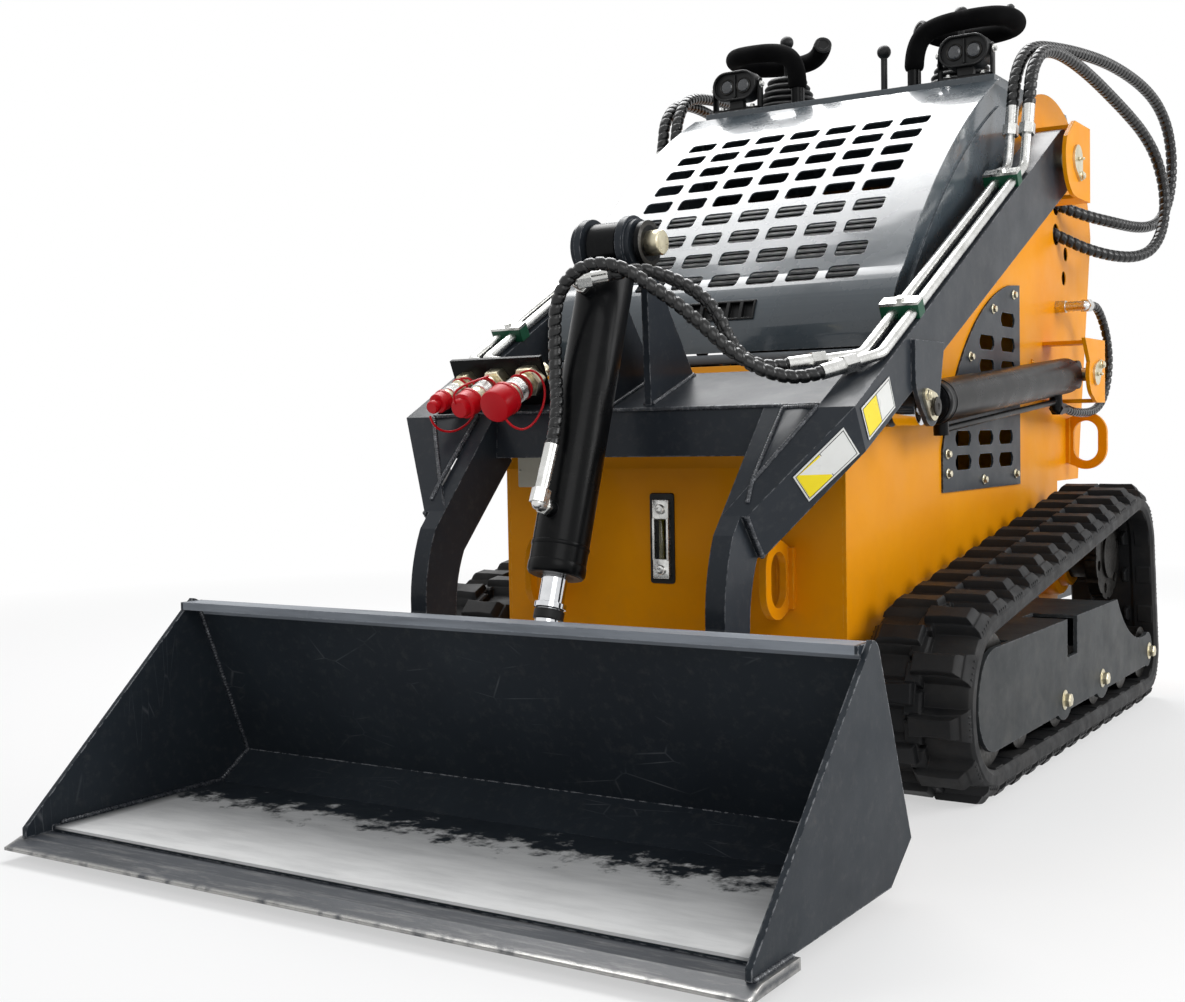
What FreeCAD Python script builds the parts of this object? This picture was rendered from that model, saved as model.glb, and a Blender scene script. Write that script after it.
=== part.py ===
"""Stand-on mini skid steer loader on rubber tracks, with a bucket.

Millimetres. +Z up, the loader faces -Y, +X is the loader's left side.
Stations along Y are measured rearward from the cutting edge and shifted at export,
so that the origin lies at the bottom centre of the whole machine.
Points given as pairs are (y, z).
"""
import FreeCAD, Part
import math
import os

V = FreeCAD.Vector
X_AXIS = V(1, 0, 0)
Y_AXIS = V(0, 1, 0)
Z_AXIS = V(0, 0, 1)

# ---------------------------------------------------------------- driving dimensions
# widths, from the middle of the machine outwards
BODY_HALF = 330.0
BODY_PLATE = 6.0
ARM_CLEARANCE = 30.0
ARM_WIDTH = 60.0
EAR_CLEARANCE = 17.0
EAR_PLATE = 8.0
TRACK_CLEARANCE = 24.0
TRACK_WIDTH = 180.0

# bucket
BUCKET_WIDTH = 1180.0
BUCKET_PLATE = 8.0
BUCKET_FLOOR_Z = 30.0
BUCKET_BACK_TOP = (370.0, 342.0)
BUCKET_BACK_BOTTOM = (475.0, 77.0)
BUCKET_CHAMFER_FOOT = (406.0, 30.0)
BUCKET_LIP_START = 70.0
BUCKET_SIDE_START = 24.0
BUCKET_SIDE_NOSE = 14.0
BUCKET_RIM_RADIUS = 16.0
BUCKET_BROW_RISE = 4.0
TOP_BAR_DEPTH = 38.0
TOP_BAR_THICKNESS = 12.0
EDGE_OVERHANG = 10.0
EDGE_THICKNESS = 14.0
EDGE_DEPTH = 120.0
EDGE_NOSE = 4.0

# attach plate behind the bucket
ATTACH_PLATE = 10.0
ATTACH_MARGIN = 33.0
ATTACH_LOW = 10.0
ATTACH_HEIGHT = 252.0
HINGE_EAR_ROOT = (16.0, 140.0)
TILT_EAR_ROOT = (140.0, 250.0)
HINGE_EAR_RADIUS = 32.0
TILT_EAR_RADIUS = 28.0
EAR_THICKNESS = 10.0
BUCKET_HINGE = (556.0, 135.0)

# body of welded plates
BODY_FRONT = 878.0
BODY_BOTTOM = 150.0
BODY_REAR_FOOT = 2047.0
TAIL_Z = 478.0
TAIL_REAR = 2215.0
LEDGE_FRONT_Z = 540.0
LEDGE_REAR = (1010.0, 715.0)
SIDE_TOP_REAR = (1690.0, 1118.0)
TOWER_CENTRE = (2000.0, 980.0)
TOWER_RADIUS = 335.0
TOWER_REAR_RISE = 60.0
TOWER_FOLDS = (26.0, 44.0)
HOSE_HOLE_RADIUS = 24.0
HOSE_HOLES = [(2045.0, 1088.0), (2045.0, 1022.0)]
FITTING_HOLE = (2045.0, 862.0)
TOWER_HOLE_RADIUS = 16.0
TOWER_HOLES = [(2120.0, 985.0), (2105.0, 930.0)]

# slotted vent plate on each side
VENT_FRONT = 1310.0
VENT_REAR = 1768.0
VENT_LOW = 482.0
VENT_HIGH = 890.0
VENT_SHOULDER = (1700.0, 885.0)
VENT_CURVE = (1430.0, 745.0)
VENT_FRONT_TOP = 560.0
VENT_LAP = 14.0
VENT_SHEET = 4.0
VENT_SLOT_LENGTH = 88.0
VENT_SLOT_HEIGHT = 28.0
VENT_ROWS = [
    # height of the row, its slots' stations
    (815.0, (1690.0,)),
    (765.0, (1560.0, 1690.0)),
    (718.0, (1560.0, 1690.0)),
    (580.0, (1420.0, 1550.0, 1675.0)),
    (535.0, (1420.0, 1550.0, 1675.0)),
]

# hood
HOOD_LAP = 10.0
HOOD_SHEET = 3.0
HOOD_GAP = 5.0
HOOD_HINGE_RISE = (8.0, -7.0)
HOOD_PIN_RADIUS = 4.0
HOOD_KNUCKLE_RADIUS = 7.0
HOOD_KNUCKLE_LENGTH = 60.0
HOOD_KNUCKLES = (-260.0, -30.0, 200.0)
HOOD_LUG = 10.0
HOOD_FOOT = (1045.0, 740.0)
HOOD_LOW_MID = (1060.0, 818.0)
HOOD_KNEE = (1109.0, 878.0)
HOOD_HIGH_MID = (1365.0, 1125.0)
HOOD_TOP = (1624.0, 1283.0)
SLOT_ROWS = 9
SLOT_COLUMNS = 7
SLOT_PITCH_X = 77.0
SLOT_PITCH_ALONG = 59.5
SLOT_WIDTH = 54.0
SLOT_HEIGHT = 24.0
SLOT_CORNER = 8.0
SLOT_TOP_OFFSET = 192.0
LATCH_X = 18.0
LATCH_Z = 815.0
LATCH_WIDTH = 132.0
LATCH_HEIGHT = 34.0
LATCH_DEPTH = 22.0
LATCH_PROUD = 4.0
LATCH_RIBS = 5
LATCH_GROOVE = 6.0
LATCH_WALL = 3.0
CHEEK_SHEET = 3.0
CHEEK_RISE = 40.0
PRESSING_INSET = 42.0
PRESSING_DEPTH = 4.0

# machinery behind the hood
ENGINE_X = (-170.0, 190.0)
ENGINE_Y = (1330.0, 1800.0)
ENGINE_TOP = 640.0
ENGINE_STEP = 40.0
ENGINE_HEAD = 90.0
CLEANER_RADIUS = 70.0
COOLER_LOW = (1150.0, 855.0)
COOLER_LENGTH = 250.0
COOLER_SLOPE = 45.0
COOLER_THICKNESS = 55.0
COOLER_TANK = 36.0
COOLER_FIN = 5.0
COOLER_FIN_PITCH = 14.0
COOLER_FIN_DEPTH = 10.0
COOLER_RAIL = 24.0
COOLER_LEG = 60.0
COOLER_LEG_DROP = 130.0

# lift arms
ARM_PIVOT = (1790.0, 1138.0)
ARM_END_RADIUS = 62.0
ARM_BEND_TOP = (707.0, 634.0)
ARM_BEND_BOTTOM = (746.0, 568.0)
LEG_OUTER = 287.0
LEG_THICKNESS = 32.0
LEG_KNEE_LAP = 10.0
LEG_KNEE_TOP = (599.0, 477.0)
LEG_KNEE_BOTTOM = (652.0, 414.0)
LEG_CAP_REAR = (748.0, 641.0)
LEG_CAP_FRONT = (575.0, 451.0)
LEG_SHIN_MID = (553.0, 388.0)
LEG_SHIN = (547.0, 319.0)
LEG_CALF = (625.0, 310.0)
LEG_CALF_MID = (631.0, 361.0)
LEG_CALF_TOP = (650.0, 411.0)
LEG_HEEL = (790.0, 556.0)
LEG_BOSS_RADIUS = 42.0
LEG_TOE_RISE = 10.0
DOUBLER = 8.0
DOUBLER_FRONT = 930.0
DOUBLER_TOP = 740.0
DOUBLER_THROAT = (930.0, 672.0)
DOUBLER_HOLLOW = (950.0, 640.0)
DOUBLER_RADIUS = 32.0
DOUBLER_REAR = 60.0

# crossmember and the tilt cylinder's bracket
CROSS_FRONT_LOW = (745.0, 562.0)
CROSS_REAR_LOW = (800.0, 562.0)
CROSS_REAR_MID = (915.0, 640.0)
CROSS_REAR_TOP = (915.0, 700.0)
CROSS_FRONT_TOP = (750.0, 640.0)
GUSSET_GAP = 7.0
GUSSET_PLATE = 12.0
GUSSET_BOSS = 10.0
GUSSET_HEAD_RADIUS = 46.0
GUSSET_BOSS_RADIUS = 40.0
GUSSET_FOOT_FRONT = 14.0
GUSSET_FOOT_REAR = 10.0
GUSSET_PIN_PROUD = 12.0

# pins and running gaps
PIVOT_PIN_RADIUS = 20.0
CYLINDER_PIN_RADIUS = 14.0
TILT_PIN_RADIUS = 18.0
BUCKET_PIN_RADIUS = 15.0
PIN_HEAD = 6.0
PIN_HEAD_LIP = 7.0
RUNNING_GAP = 0.3
SIDE_GAP = 2.0
KEEPER_PLATE = 5.0
KEEPER_LIP = 9.0
KEEPER_REACH = 36.0
KEEPER_NOSE = 11.0
ARM_KEEPER = -60.0
LIFT_KEEPER = 35.0
FRONT_KEEPER = 150.0

# brackets on the body sides
FLANGE_PLATE = 8.0
ARM_FLANGE_CLEAR = 6.0
ARM_EAR_RADIUS = 76.0
ARM_EAR_FRONT = 11.0
LIFT_FLANGE_CLEAR = 14.0
LIFT_EAR_RADIUS = 50.0
LIFT_EAR_FRONT = 80.0
LIFT_HEADROOM = 14.0
EAR_TAIL = 26.0
FLANGE_START = 10.0

# tie-down rings
RING_REACH = 88.0
RING_RADIUS = 46.0
RING_HOLE = 27.0
RING_STRAIGHT = 18.0
RING_PLATE = 12.0
RING_ROOT = 50.0
RING_PAD = 9.0
RING_PAD_DEPTH = 8.0
FRONT_RING = (226.0, 362.0)
REAR_RING = (2130.0, 566.0)

# lift cylinders
LIFT_REAR_PIN = (1930.0, 708.0)
LIFT_FRONT_PIN = (1000.0, 635.0)
LIFT_BARREL_RADIUS = 37.5
LIFT_ROD_RADIUS = 18.0
LIFT_EYE_RADIUS = 30.0
LIFT_EYE_WIDTH = 40.0
LIFT_BARREL_LENGTH = 830.0
LIFT_ROD_LENGTH = 560.0
LIFT_PORT_REAR = 105.0
LIFT_PORT_FRONT = 790.0

# tilt cylinder
TILT_TOP_PIN = (722.0, 899.0)
TILT_ROD_PIN = (500.0, 260.0)
TILT_BARREL_RADIUS = 44.0
TILT_ROD_RADIUS = 20.0
TILT_EYE_RADIUS = 38.0
TILT_ROD_EYE_RADIUS = 30.0
TILT_EYE_WIDTH = 50.0
TILT_BARREL_LENGTH = 530.0
TILT_ROD_LENGTH = 430.0
TILT_PORT_LOW = 450.0
TILT_PORT_HIGH = 92.0
PORT_RADIUS = 13.0
PORT_HEIGHT = 12.0
GLAND_LENGTH = 14.0
NECK_GAP = 8.0
ELBOW_RADIUS = 11.0
ELBOW_REACH = 20.0
ELBOW_DROP = 14.0
TILT_NUT = 26.0
LIFT_NUT = 26.0
LIFT_FERRULE = 30.0
FITTING_REACH = 62.0
PIPE_RADIUS = 6.0
PIPE_GAP = 6.0

# steel tubes on the arms and their fittings
TUBE_RADIUS = 9.0
TUBE_LIFT = 10.0
TUBE_OUTER_INSET = 12.0
TUBE_SPACING = 32.0
TUBE_BEND = 34.0
TUBE_FRONT_Y = 838.0
TUBE_RISE_Y = 1562.0
TUBE_TOP = (1578.0, 1160.0)
NUT_ACROSS = 27.0
NUT_LENGTH = 22.0
FERRULE_RADIUS = 12.0
FERRULE_LENGTH = 38.0
CLAMP_STATIONS = (984.0, 1500.0)
CLAMP_LENGTH = 26.0
CLAMP_HEIGHT = 24.0
CLAMP_COVER = 5.0
CLAMP_WIDTH = 65.0
CLAMP_BOLT = 14.0
TUBE_HOSE_STARTS = [
    # x, y, z where the tilt hoses leave the front ends of the left tubes: outer tube, inner tube
    (345.0, 758.0, 687.0),
    (291.0, 754.0, 700.0),
]

# auxiliary couplers on the crossmember's right end
COUPLER_DIP = 24.0
COUPLER_PLATE = 8.0
COUPLER_PLATE_X = (-355.0, -165.0)
COUPLER_CENTRE = (772.0, 700.0)
COUPLER_PLATE_UP = 38.0
COUPLERS = [
    # x, hexagon across, body radius, length, cap radius
    (-190.0, 42.0, 19.0, 78.0, 28.0),
    (-258.0, 36.0, 16.0, 84.0, 22.0),
    (-323.0, 30.0, 13.0, 74.0, 17.0),
]
CAP_LENGTH = 38.0
CAP_LAP = 8.0
CAP_ROUND = 8.0
COUPLER_TAIL = 14.0
COUPLER_RUN = 22.0
COUPLER_BEND = 20.0
COUPLER_TUBE_Y = 884.0
COUPLER_HEX = 22.0

# hoses: diameters, and the (x, y, z) points of each route, from the fitting named first
TILT_HOSE = 21.0
BOOM_HOSE = 25.0
LIFT_HOSE = 19.0
TILT_HOSE_LOWER = [TUBE_HOSE_STARTS[0]] + [
    # from the outer tube over the cylinder's head and down its front to the low port
    (306.0, 715.0, 680.0), (271.0, 689.0, 694.0), (234.0, 672.0, 723.0), (197.0, 656.0, 762.0),
    (160.0, 640.0, 797.0), (127.0, 622.0, 823.0), (103.0, 609.0, 843.0), (79.0, 598.0, 855.0),
    (45.0, 592.0, 859.0), (11.0, 590.0, 847.0), (-15.0, 592.0, 820.0), (-27.0, 595.0, 788.0),
    (-30.0, 598.0, 743.0), (-25.0, 591.0, 694.0), (-8.0, 569.0, 648.0), (0.0, 540.0, 585.0),
]
TILT_HOSE_UPPER = [TUBE_HOSE_STARTS[1]] + [
    # from the inner tube up to the high port
    (254.0, 722.0, 701.0), (234.0, 711.0, 715.0), (216.0, 704.0, 742.0), (202.0, 704.0, 774.0),
    (179.0, 703.0, 804.0), (147.0, 696.0, 828.0), (112.0, 681.0, 845.0), (88.0, 668.0, 853.0),
    (42.0, 641.0, 845.0),
]
BOOM_HOSE_OVER = [
    # from the inner tube's top round the wide loop into the upper hole
    (378.0, 1611.0, 1284.0), (381.0, 1641.0, 1324.0), (387.0, 1692.0, 1352.0), (396.0, 1789.0, 1368.0),
    (412.0, 1930.0, 1383.0), (430.0, 2080.0, 1390.0), (446.0, 2220.0, 1384.0), (458.0, 2330.0, 1370.0),
    (466.0, 2421.0, 1346.0), (472.0, 2489.0, 1301.0), (474.0, 2522.0, 1229.0), (471.0, 2512.0, 1149.0),
    (463.0, 2460.0, 1087.0), (453.0, 2382.0, 1062.0), (441.0, 2280.0, 1052.0), (425.0, 2172.0, 1052.0),
    (385.0, 2098.0, 1062.0), (346.0, 2056.0, 1079.0), (306.0, 2026.0, 1102.0),
]
BOOM_HOSE_UNDER = [
    # from the outer tube's top round the narrow loop into the lower hole
    (409.0, 1607.0, 1278.0), (410.0, 1631.0, 1309.0), (412.0, 1672.0, 1336.0), (417.0, 1752.0, 1349.0),
    (424.0, 1860.0, 1346.0), (432.0, 1975.0, 1333.0), (442.0, 2087.0, 1312.0), (453.0, 2188.0, 1289.0),
    (464.0, 2277.0, 1262.0), (478.0, 2344.0, 1215.0), (490.0, 2373.0, 1138.0), (491.0, 2355.0, 1059.0),
    (481.0, 2300.0, 1002.0), (462.0, 2228.0, 978.0), (431.0, 2154.0, 975.0), (390.0, 2094.0, 987.0),
    (348.0, 2058.0, 1010.0), (306.0, 2028.0, 1036.0),
]
LIFT_HOSE_ROUTE = [
    # from the side's fitting down behind the bracket, up to the point before the cylinder's elbow
    (394.0, 2078.0, 864.0), (396.0, 2130.0, 862.5), (397.0, 2170.0, 840.0), (400.0, 2201.0, 798.0),
    (402.0, 2211.0, 746.0), (401.0, 2198.0, 695.0), (399.0, 2164.0, 655.0), (396.0, 2115.0, 634.0),
    (394.0, 2056.0, 628.0), (392.0, 1992.0, 628.0), (391.0, 1935.0, 631.0),
]

# tracks
BELT_THICKNESS = 30.0
BELT_GAP = 0.5
LUG_HEIGHT = 25.0
LUG_PITCH = 72.0
LUG_FOOT = 46.0
LUG_TIP = 30.0
LUG_SINK = 8.0
LUG_EDGE = 6.0
IDLER_CENTRE = (1010.0, 165.0)
IDLER_BELT_RADIUS = 140.0
SPROCKET_CENTRE = (1950.0, 325.0)
SPROCKET_BELT_RADIUS = 125.0
TAIL_CENTRE = (2025.0, 110.0)
TAIL_BELT_RADIUS = 85.0

# track frames, wheels and sprockets
FRAME_PLATE = 8.0
FRAME_INNER_GAP = 8.0
FRAME_OUTER_GAP = 6.0
FRAME_TOP = 250.0
FRAME_LOW = 84.0
FRAME_NOSE_Y = 1005.0
FRAME_COVER = (1100.0, 1740.0)
FRAME_COVER_PLATE = 6.0
FRAME_NOTCH = (1412.0, 1478.0)
FRAME_NOTCH_LOW = 180.0
FRAME_SHOULDER = (1770.0, 250.0)
FRAME_SADDLE = (1860.0, 178.0)
FRAME_TAIL = (2010.0, 150.0)
FRAME_TAIL_END = 2062.0
FRAME_BEAMS = (1135.0, 1600.0)
FRAME_BEAM_LENGTH = 90.0
FRAME_BEAM_Z = (175.0, 244.0)
ROLLER_RADIUS = 50.0
ROLLER_Z = 106.0
ROLLER_STATIONS = (1180.0, 1394.0, 1654.0, 1860.0)
ROLLER_GUARD = 40.0
GUARD_DROP = 14.0
WHEEL_RIM = 34.0
WHEEL_SIDE_GAP = 8.0
WHEEL_HUB = 0.45
SPROCKET_INSET = 86.0
SPROCKET_DISC = 24.0
SPROCKET_HOLES = 6
SPROCKET_TEETH = 12
SPROCKET_NOTCH = 9.0
SPROCKET_HUB = 50.0

# operator's end
CONSOLE_TOP = 1300.0
CONSOLE_FRONT = 1645.0
CONSOLE_FRONT_LOW = 1190.0
CONSOLE_REAR_TOP = 2150.0
CONSOLE_REAR = (2230.0, 1210.0)
CONSOLE_BOTTOM = (1750.0, 1120.0)
PANEL_MARGIN = 18.0
PANEL_RECESS = 5.0
PANEL_HALF = 200.0
HANDLE_RADIUS = 20.0
HANDLE_BEND = 38.0
HANDLE_POST = (133.0, 1711.0)
HANDLE_FLANGE = 34.0
HANDLE_FLANGE_PLATE = 6.0
HANDLE_CAP = 4.0
HANDLE_BARE = 45.0
HANDLE_ROUTE = [
    # corners of the loop from the post's foot
    (0.0, 0.0, 128.0), (185.0, 17.0, 140.0), (185.0, 151.0, 136.0), (19.0, 151.0, 128.0),
    (-21.0, 89.0, 152.0),
]
LAMP_PLACE = (258.0, 1671.0, 1356.0)
LAMP_STRAIGHT = 20.0
LAMP_RADIUS = 32.0
LAMP_DEPTH = 40.0
LAMP_BEZEL = 5.0
LAMP_RECESS = 8.0
LAMP_CUP = 17.0
LAMP_FINS = 5
LAMP_FIN = 6.0
LAMP_FIN_DEPTH = 22.0
LAMP_FOOT = (100.0, 34.0)
LAMP_FOOT_PLATE = 5.0
LAMP_STEM = 16.0
LEVER_Y = 1805.0
LEVER_X = 202.0
LEVER_RADIUS = 7.0
LEVER_TOP = 1486.0
KNOB_RADIUS = 15.0
THROTTLE = (31.0, 1800.0, 1430.0)
BOOT_RADIUS = 72.0
BOOT_TOP_RADIUS = 36.0
BOOT_FOLDS = 6
BOOT_HEIGHT = 90.0
BOOT_FOLD_DEPTH = 8.0

# platform behind the body
PLATFORM_HINGE = (2225.0, 200.0)
PLATFORM_LENGTH = 330.0
PLATFORM_HALF = 260.0
PLATFORM_TOP_RISE = 15.0
PLATFORM_RIM = 30.0
PLATFORM_SHEET = 6.0
PLATFORM_SETBACK = 25.0
PLATFORM_PIN_RADIUS = 8.0
PLATFORM_LUG_X = 200.0
PLATFORM_LUG_HALF = 20.0
PLATFORM_LUG_RADIUS = 14.0
PLATFORM_EAR = 8.0
PLATFORM_EAR_GAP = 2.0
PLATFORM_EAR_RADIUS = 17.0
PLATFORM_EAR_DROP = 40.0

# ---------------------------------------------------------------- derived sizes
ARM_INNER = BODY_HALF + ARM_CLEARANCE
ARM_OUTER = ARM_INNER + ARM_WIDTH
EAR_INNER = ARM_OUTER + EAR_CLEARANCE
EAR_OUTER = EAR_INNER + EAR_PLATE
TRACK_INNER = BODY_HALF + TRACK_CLEARANCE
TRACK_OUTER = TRACK_INNER + TRACK_WIDTH
FRAME_INNER = TRACK_INNER + FRAME_INNER_GAP
FRAME_OUTER = TRACK_OUTER - FRAME_OUTER_GAP
LIFT_CENTRE_X = (ARM_INNER + ARM_OUTER) / 2
LEG_INNER = LEG_OUTER - LEG_THICKNESS
HOOD_HALF = BODY_HALF + HOOD_LAP
HOOD_HINGE = (HOOD_TOP[0] + HOOD_HINGE_RISE[0], HOOD_TOP[1] + HOOD_HINGE_RISE[1])
GUSSET_INNER = TILT_EYE_WIDTH / 2 + GUSSET_GAP
PLATFORM_Z = PLATFORM_HINGE[1] + PLATFORM_TOP_RISE
PLATFORM_REAR = PLATFORM_HINGE[0] + PLATFORM_LENGTH
MID_Y = PLATFORM_REAR / 2
TUBE_X = (ARM_OUTER - TUBE_OUTER_INSET, ARM_OUTER - TUBE_OUTER_INSET - TUBE_SPACING)


# ---------------------------------------------------------------- helpers
def yz(point, x=0.0):
    """A (y, z) pair as a 3-D point at a given x."""
    return V(x, point[0], point[1])


def outline(points, x=0.0):
    """A closed face across X; a point given as ('arc', mid, end) is reached by an arc."""
    edges = []
    here = points[0]
    for item in list(points[1:]) + [points[0]]:
        if item[0] == "arc":
            edges.append(Part.Arc(yz(here, x), yz(item[1], x), yz(item[2], x)).toShape())
            here = item[2]
        elif math.dist(item, here) > 1e-4:
            edges.append(Part.LineSegment(yz(here, x), yz(item, x)).toShape())
            here = item
    return Part.Face(Part.Wire(edges))


def prism(points, x_low, x_high):
    """A plate or block with a Y-Z outline between two X planes."""
    return outline(points, x_low).extrude(V(x_high - x_low, 0, 0))


def box(x, y, z):
    """A box from three (low, high) pairs."""
    return Part.makeBox(x[1] - x[0], y[1] - y[0], z[1] - z[0], V(x[0], y[0], z[0]))


def rod_x(centre, radius, x_low, x_high):
    """A cylinder along X round a (y, z) centre."""
    return Part.makeCylinder(radius, x_high - x_low, yz(centre, x_low), X_AXIS)


def bar(start, end, radius):
    """A cylinder between two 3-D points."""
    return Part.makeCylinder(radius, (end - start).Length, start, end - start)


def hex_bar(start, way, across, length):
    """A hexagon bar from a 3-D point along a unit direction."""
    side = Z_AXIS if abs(way.z) < 0.9 else X_AXIS
    u = way.cross(side).normalize()
    v = way.cross(u).normalize()
    reach = across / math.sqrt(3)
    turns = [math.radians(60.0 * i) for i in range(6)]
    corners = [start + u * (reach * math.cos(t)) + v * (reach * math.sin(t)) for t in turns]
    return Part.Face(Part.makePolygon(corners + corners[:1])).extrude(way * length)


def mirrored(shape):
    """The same shape on the other side of the machine."""
    return shape.mirror(V(0, 0, 0), X_AXIS)


def pair(shape):
    """The shape on the left and its mirror image on the right, as one compound."""
    return Part.makeCompound([shape, mirrored(shape)])


def fused(solids):
    """Several touching solids as one."""
    return solids[0].multiFuse(solids[1:]).removeSplitter()


def left_normal(start, end):
    """The unit (y, z) vector to the left of the way from start to end."""
    length = math.dist(start, end)
    return ((start[1] - end[1]) / length, (end[0] - start[0]) / length)


def moved(point, way, distance):
    """A (y, z) point moved along a unit (y, z) vector."""
    return (point[0] + way[0] * distance, point[1] + way[1] * distance)


def folded_plate(points, thickness, x_low, x_high):
    """A folded sheet whose outer face follows a line of (y, z) points, thick to the left."""
    inner = []
    last = len(points) - 1
    for i, point in enumerate(points):
        before = left_normal(points[max(i - 1, 0)], points[max(i, 1)])
        after = left_normal(points[min(i, last - 1)], points[min(i + 1, last)])
        mitre = thickness / (1 + before[0] * after[0] + before[1] * after[1])
        inner.append(moved(point, (before[0] + after[0], before[1] + after[1]), mitre))
    return prism(list(points) + inner[::-1], x_low, x_high)


def toward(start, end, distance):
    """The (y, z) point at a distance from start on the way to end."""
    share = distance / math.dist(start, end)
    return (start[0] + (end[0] - start[0]) * share, start[1] + (end[1] - start[1]) * share)


def polar(centre, radius, degrees):
    """A (y, z) point on a circle, counted from +Y towards +Z."""
    angle = math.radians(degrees)
    return (centre[0] + radius * math.cos(angle), centre[1] + radius * math.sin(angle))


def tangent_angle(c1, r1, c2, r2):
    """Direction of the outward normal of the belt run from circle 1 to circle 2."""
    dy = c2[0] - c1[0]
    dz = c2[1] - c1[1]
    return math.atan2(dz, dy) - math.pi / 2 - math.asin((r2 - r1) / math.hypot(dy, dz))


def rounded_path(points, setbacks):
    """Straight runs joined by tangent arcs that start and end a setback from each corner."""
    edges = []
    radii = []
    here = points[0]
    for before, corner, after, setback in zip(points, points[1:], points[2:], setbacks):
        back = (before - corner).normalize()
        ahead = (after - corner).normalize()
        half = back.getAngle(ahead) / 2
        bend = setback * math.tan(half)
        enter = corner + back * setback
        leave = corner + ahead * setback
        middle = corner + (back + ahead).normalize() * (bend / math.sin(half) - bend)
        edges.append(Part.LineSegment(here, enter).toShape())
        edges.append(Part.Arc(enter, middle, leave).toShape())
        radii.append(bend)
        here = leave
    edges.append(Part.LineSegment(here, points[-1]).toShape())
    return Part.Wire(edges), radii


def swept(path, radius, start, way):
    """A round bar along a path."""
    section = Part.Wire(Part.makeCircle(radius, start, way))
    return path.makePipeShell([section], True, False)


def pipe(points, radius, bend):
    """A round tube along straight runs joined by tangent arcs of one bend radius."""
    setbacks = []
    for before, corner, after in zip(points, points[1:], points[2:]):
        setbacks.append(bend / math.tan((before - corner).getAngle(after - corner) / 2))
    path, _ = rounded_path(points, setbacks)
    return swept(path, radius, points[0], points[1] - points[0])


HOSE_SETBACK = 0.45
HOSE_LEAD = 1.1


def hose(name, route, diameter, lead, tail):
    """A hose that leaves and ends square, with the largest arc that each corner's runs allow."""
    points = [V(*point) for point in route]
    first = points[0] + lead * (diameter * HOSE_LEAD)
    points.insert(1, first)
    if tail is not None:
        points.insert(-1, points[-1] - tail * (diameter * HOSE_LEAD))
    runs = [(b - a).Length for a, b in zip(points, points[1:])]
    setbacks = [HOSE_SETBACK * min(one, other) for one, other in zip(runs, runs[1:])]
    path, radii = rounded_path(points, setbacks)
    tube = swept(path, diameter / 2, points[0], lead)
    ideal = math.pi * diameter ** 2 / 4 * path.Length
    print(name, "length", round(path.Length), "runs", [round(run) for run in runs])
    print("   radii", [round(radius) for radius in radii], "volume ratio", round(tube.Volume / ideal, 4))
    return tube


# ---------------------------------------------------------------- bucket
BACK_UP = toward((0.0, 0.0), (BUCKET_BACK_TOP[0] - BUCKET_BACK_BOTTOM[0],
                              BUCKET_BACK_TOP[1] - BUCKET_BACK_BOTTOM[1]), 1.0)
BACK_OUT = (BACK_UP[1], -BACK_UP[0])


def on_back(rise, distance=0.0):
    """A point a rise up the bucket's back and a distance square off it."""
    return moved(moved(BUCKET_BACK_BOTTOM, BACK_UP, rise), BACK_OUT, distance)


def bucket_shell():
    """Folded skin, two side plates and a stiffening bar along the top edge."""
    half = BUCKET_WIDTH / 2
    inner = half - BUCKET_PLATE
    skin = folded_plate([(BUCKET_LIP_START, BUCKET_FLOOR_Z), BUCKET_CHAMFER_FOOT, BUCKET_BACK_BOTTOM,
                         BUCKET_BACK_TOP], BUCKET_PLATE, -inner, inner)
    rim = toward(BUCKET_BACK_TOP, BUCKET_BACK_BOTTOM, BUCKET_RIM_RADIUS)
    brow = (BUCKET_BACK_TOP[0] - BUCKET_RIM_RADIUS, BUCKET_BACK_TOP[1] + BUCKET_BROW_RISE)
    crown = (BUCKET_BACK_TOP[0] - BUCKET_BROW_RISE / 2, BUCKET_BACK_TOP[1] - BUCKET_BROW_RISE / 2)
    side = prism([(BUCKET_SIDE_START, BUCKET_FLOOR_Z), BUCKET_CHAMFER_FOOT, BUCKET_BACK_BOTTOM, rim,
                  ("arc", crown, brow), (BUCKET_SIDE_START, BUCKET_FLOOR_Z + BUCKET_SIDE_NOSE)], inner, half)
    rear = BUCKET_BACK_TOP[0] - BUCKET_BROW_RISE
    top_bar = box((-inner, inner), (rear - TOP_BAR_DEPTH, rear),
                  (BUCKET_BACK_TOP[1] - TOP_BAR_THICKNESS, BUCKET_BACK_TOP[1]))
    return fused([skin, side, mirrored(side), top_bar])


def bucket_edge():
    """The bevelled cutting edge under the front of the floor."""
    half = BUCKET_WIDTH / 2 + EDGE_OVERHANG
    under = BUCKET_FLOOR_Z - EDGE_THICKNESS
    return prism([(0.0, under), (EDGE_DEPTH, under), (EDGE_DEPTH, BUCKET_FLOOR_Z),
                  (EDGE_THICKNESS * 2, BUCKET_FLOOR_Z), (0.0, under + EDGE_NOSE)], -half, half)


def ear_plate(pin, root_low, root_high, radius, x_low, x_high, hole):
    """A bracket ear: two root points, a round end about the pin and the pin's hole."""
    low = math.degrees(math.atan2(pin[1] - root_low[1], pin[0] - root_low[0])) - 90.0
    high = math.degrees(math.atan2(pin[1] - root_high[1], pin[0] - root_high[0])) + 90.0
    plate = prism([root_low, polar(pin, radius, low),
                   ("arc", polar(pin, radius, (low + high) / 2), polar(pin, radius, high)), root_high],
                  x_low, x_high)
    if hole > 0:
        plate = plate.cut(rod_x(pin, hole, x_low - 1, x_high + 1))
    return plate


HINGE_EARS_X = (LEG_INNER - SIDE_GAP - EAR_THICKNESS, LEG_OUTER + SIDE_GAP)
TILT_EAR_X = TILT_EYE_WIDTH / 2 + SIDE_GAP


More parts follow.
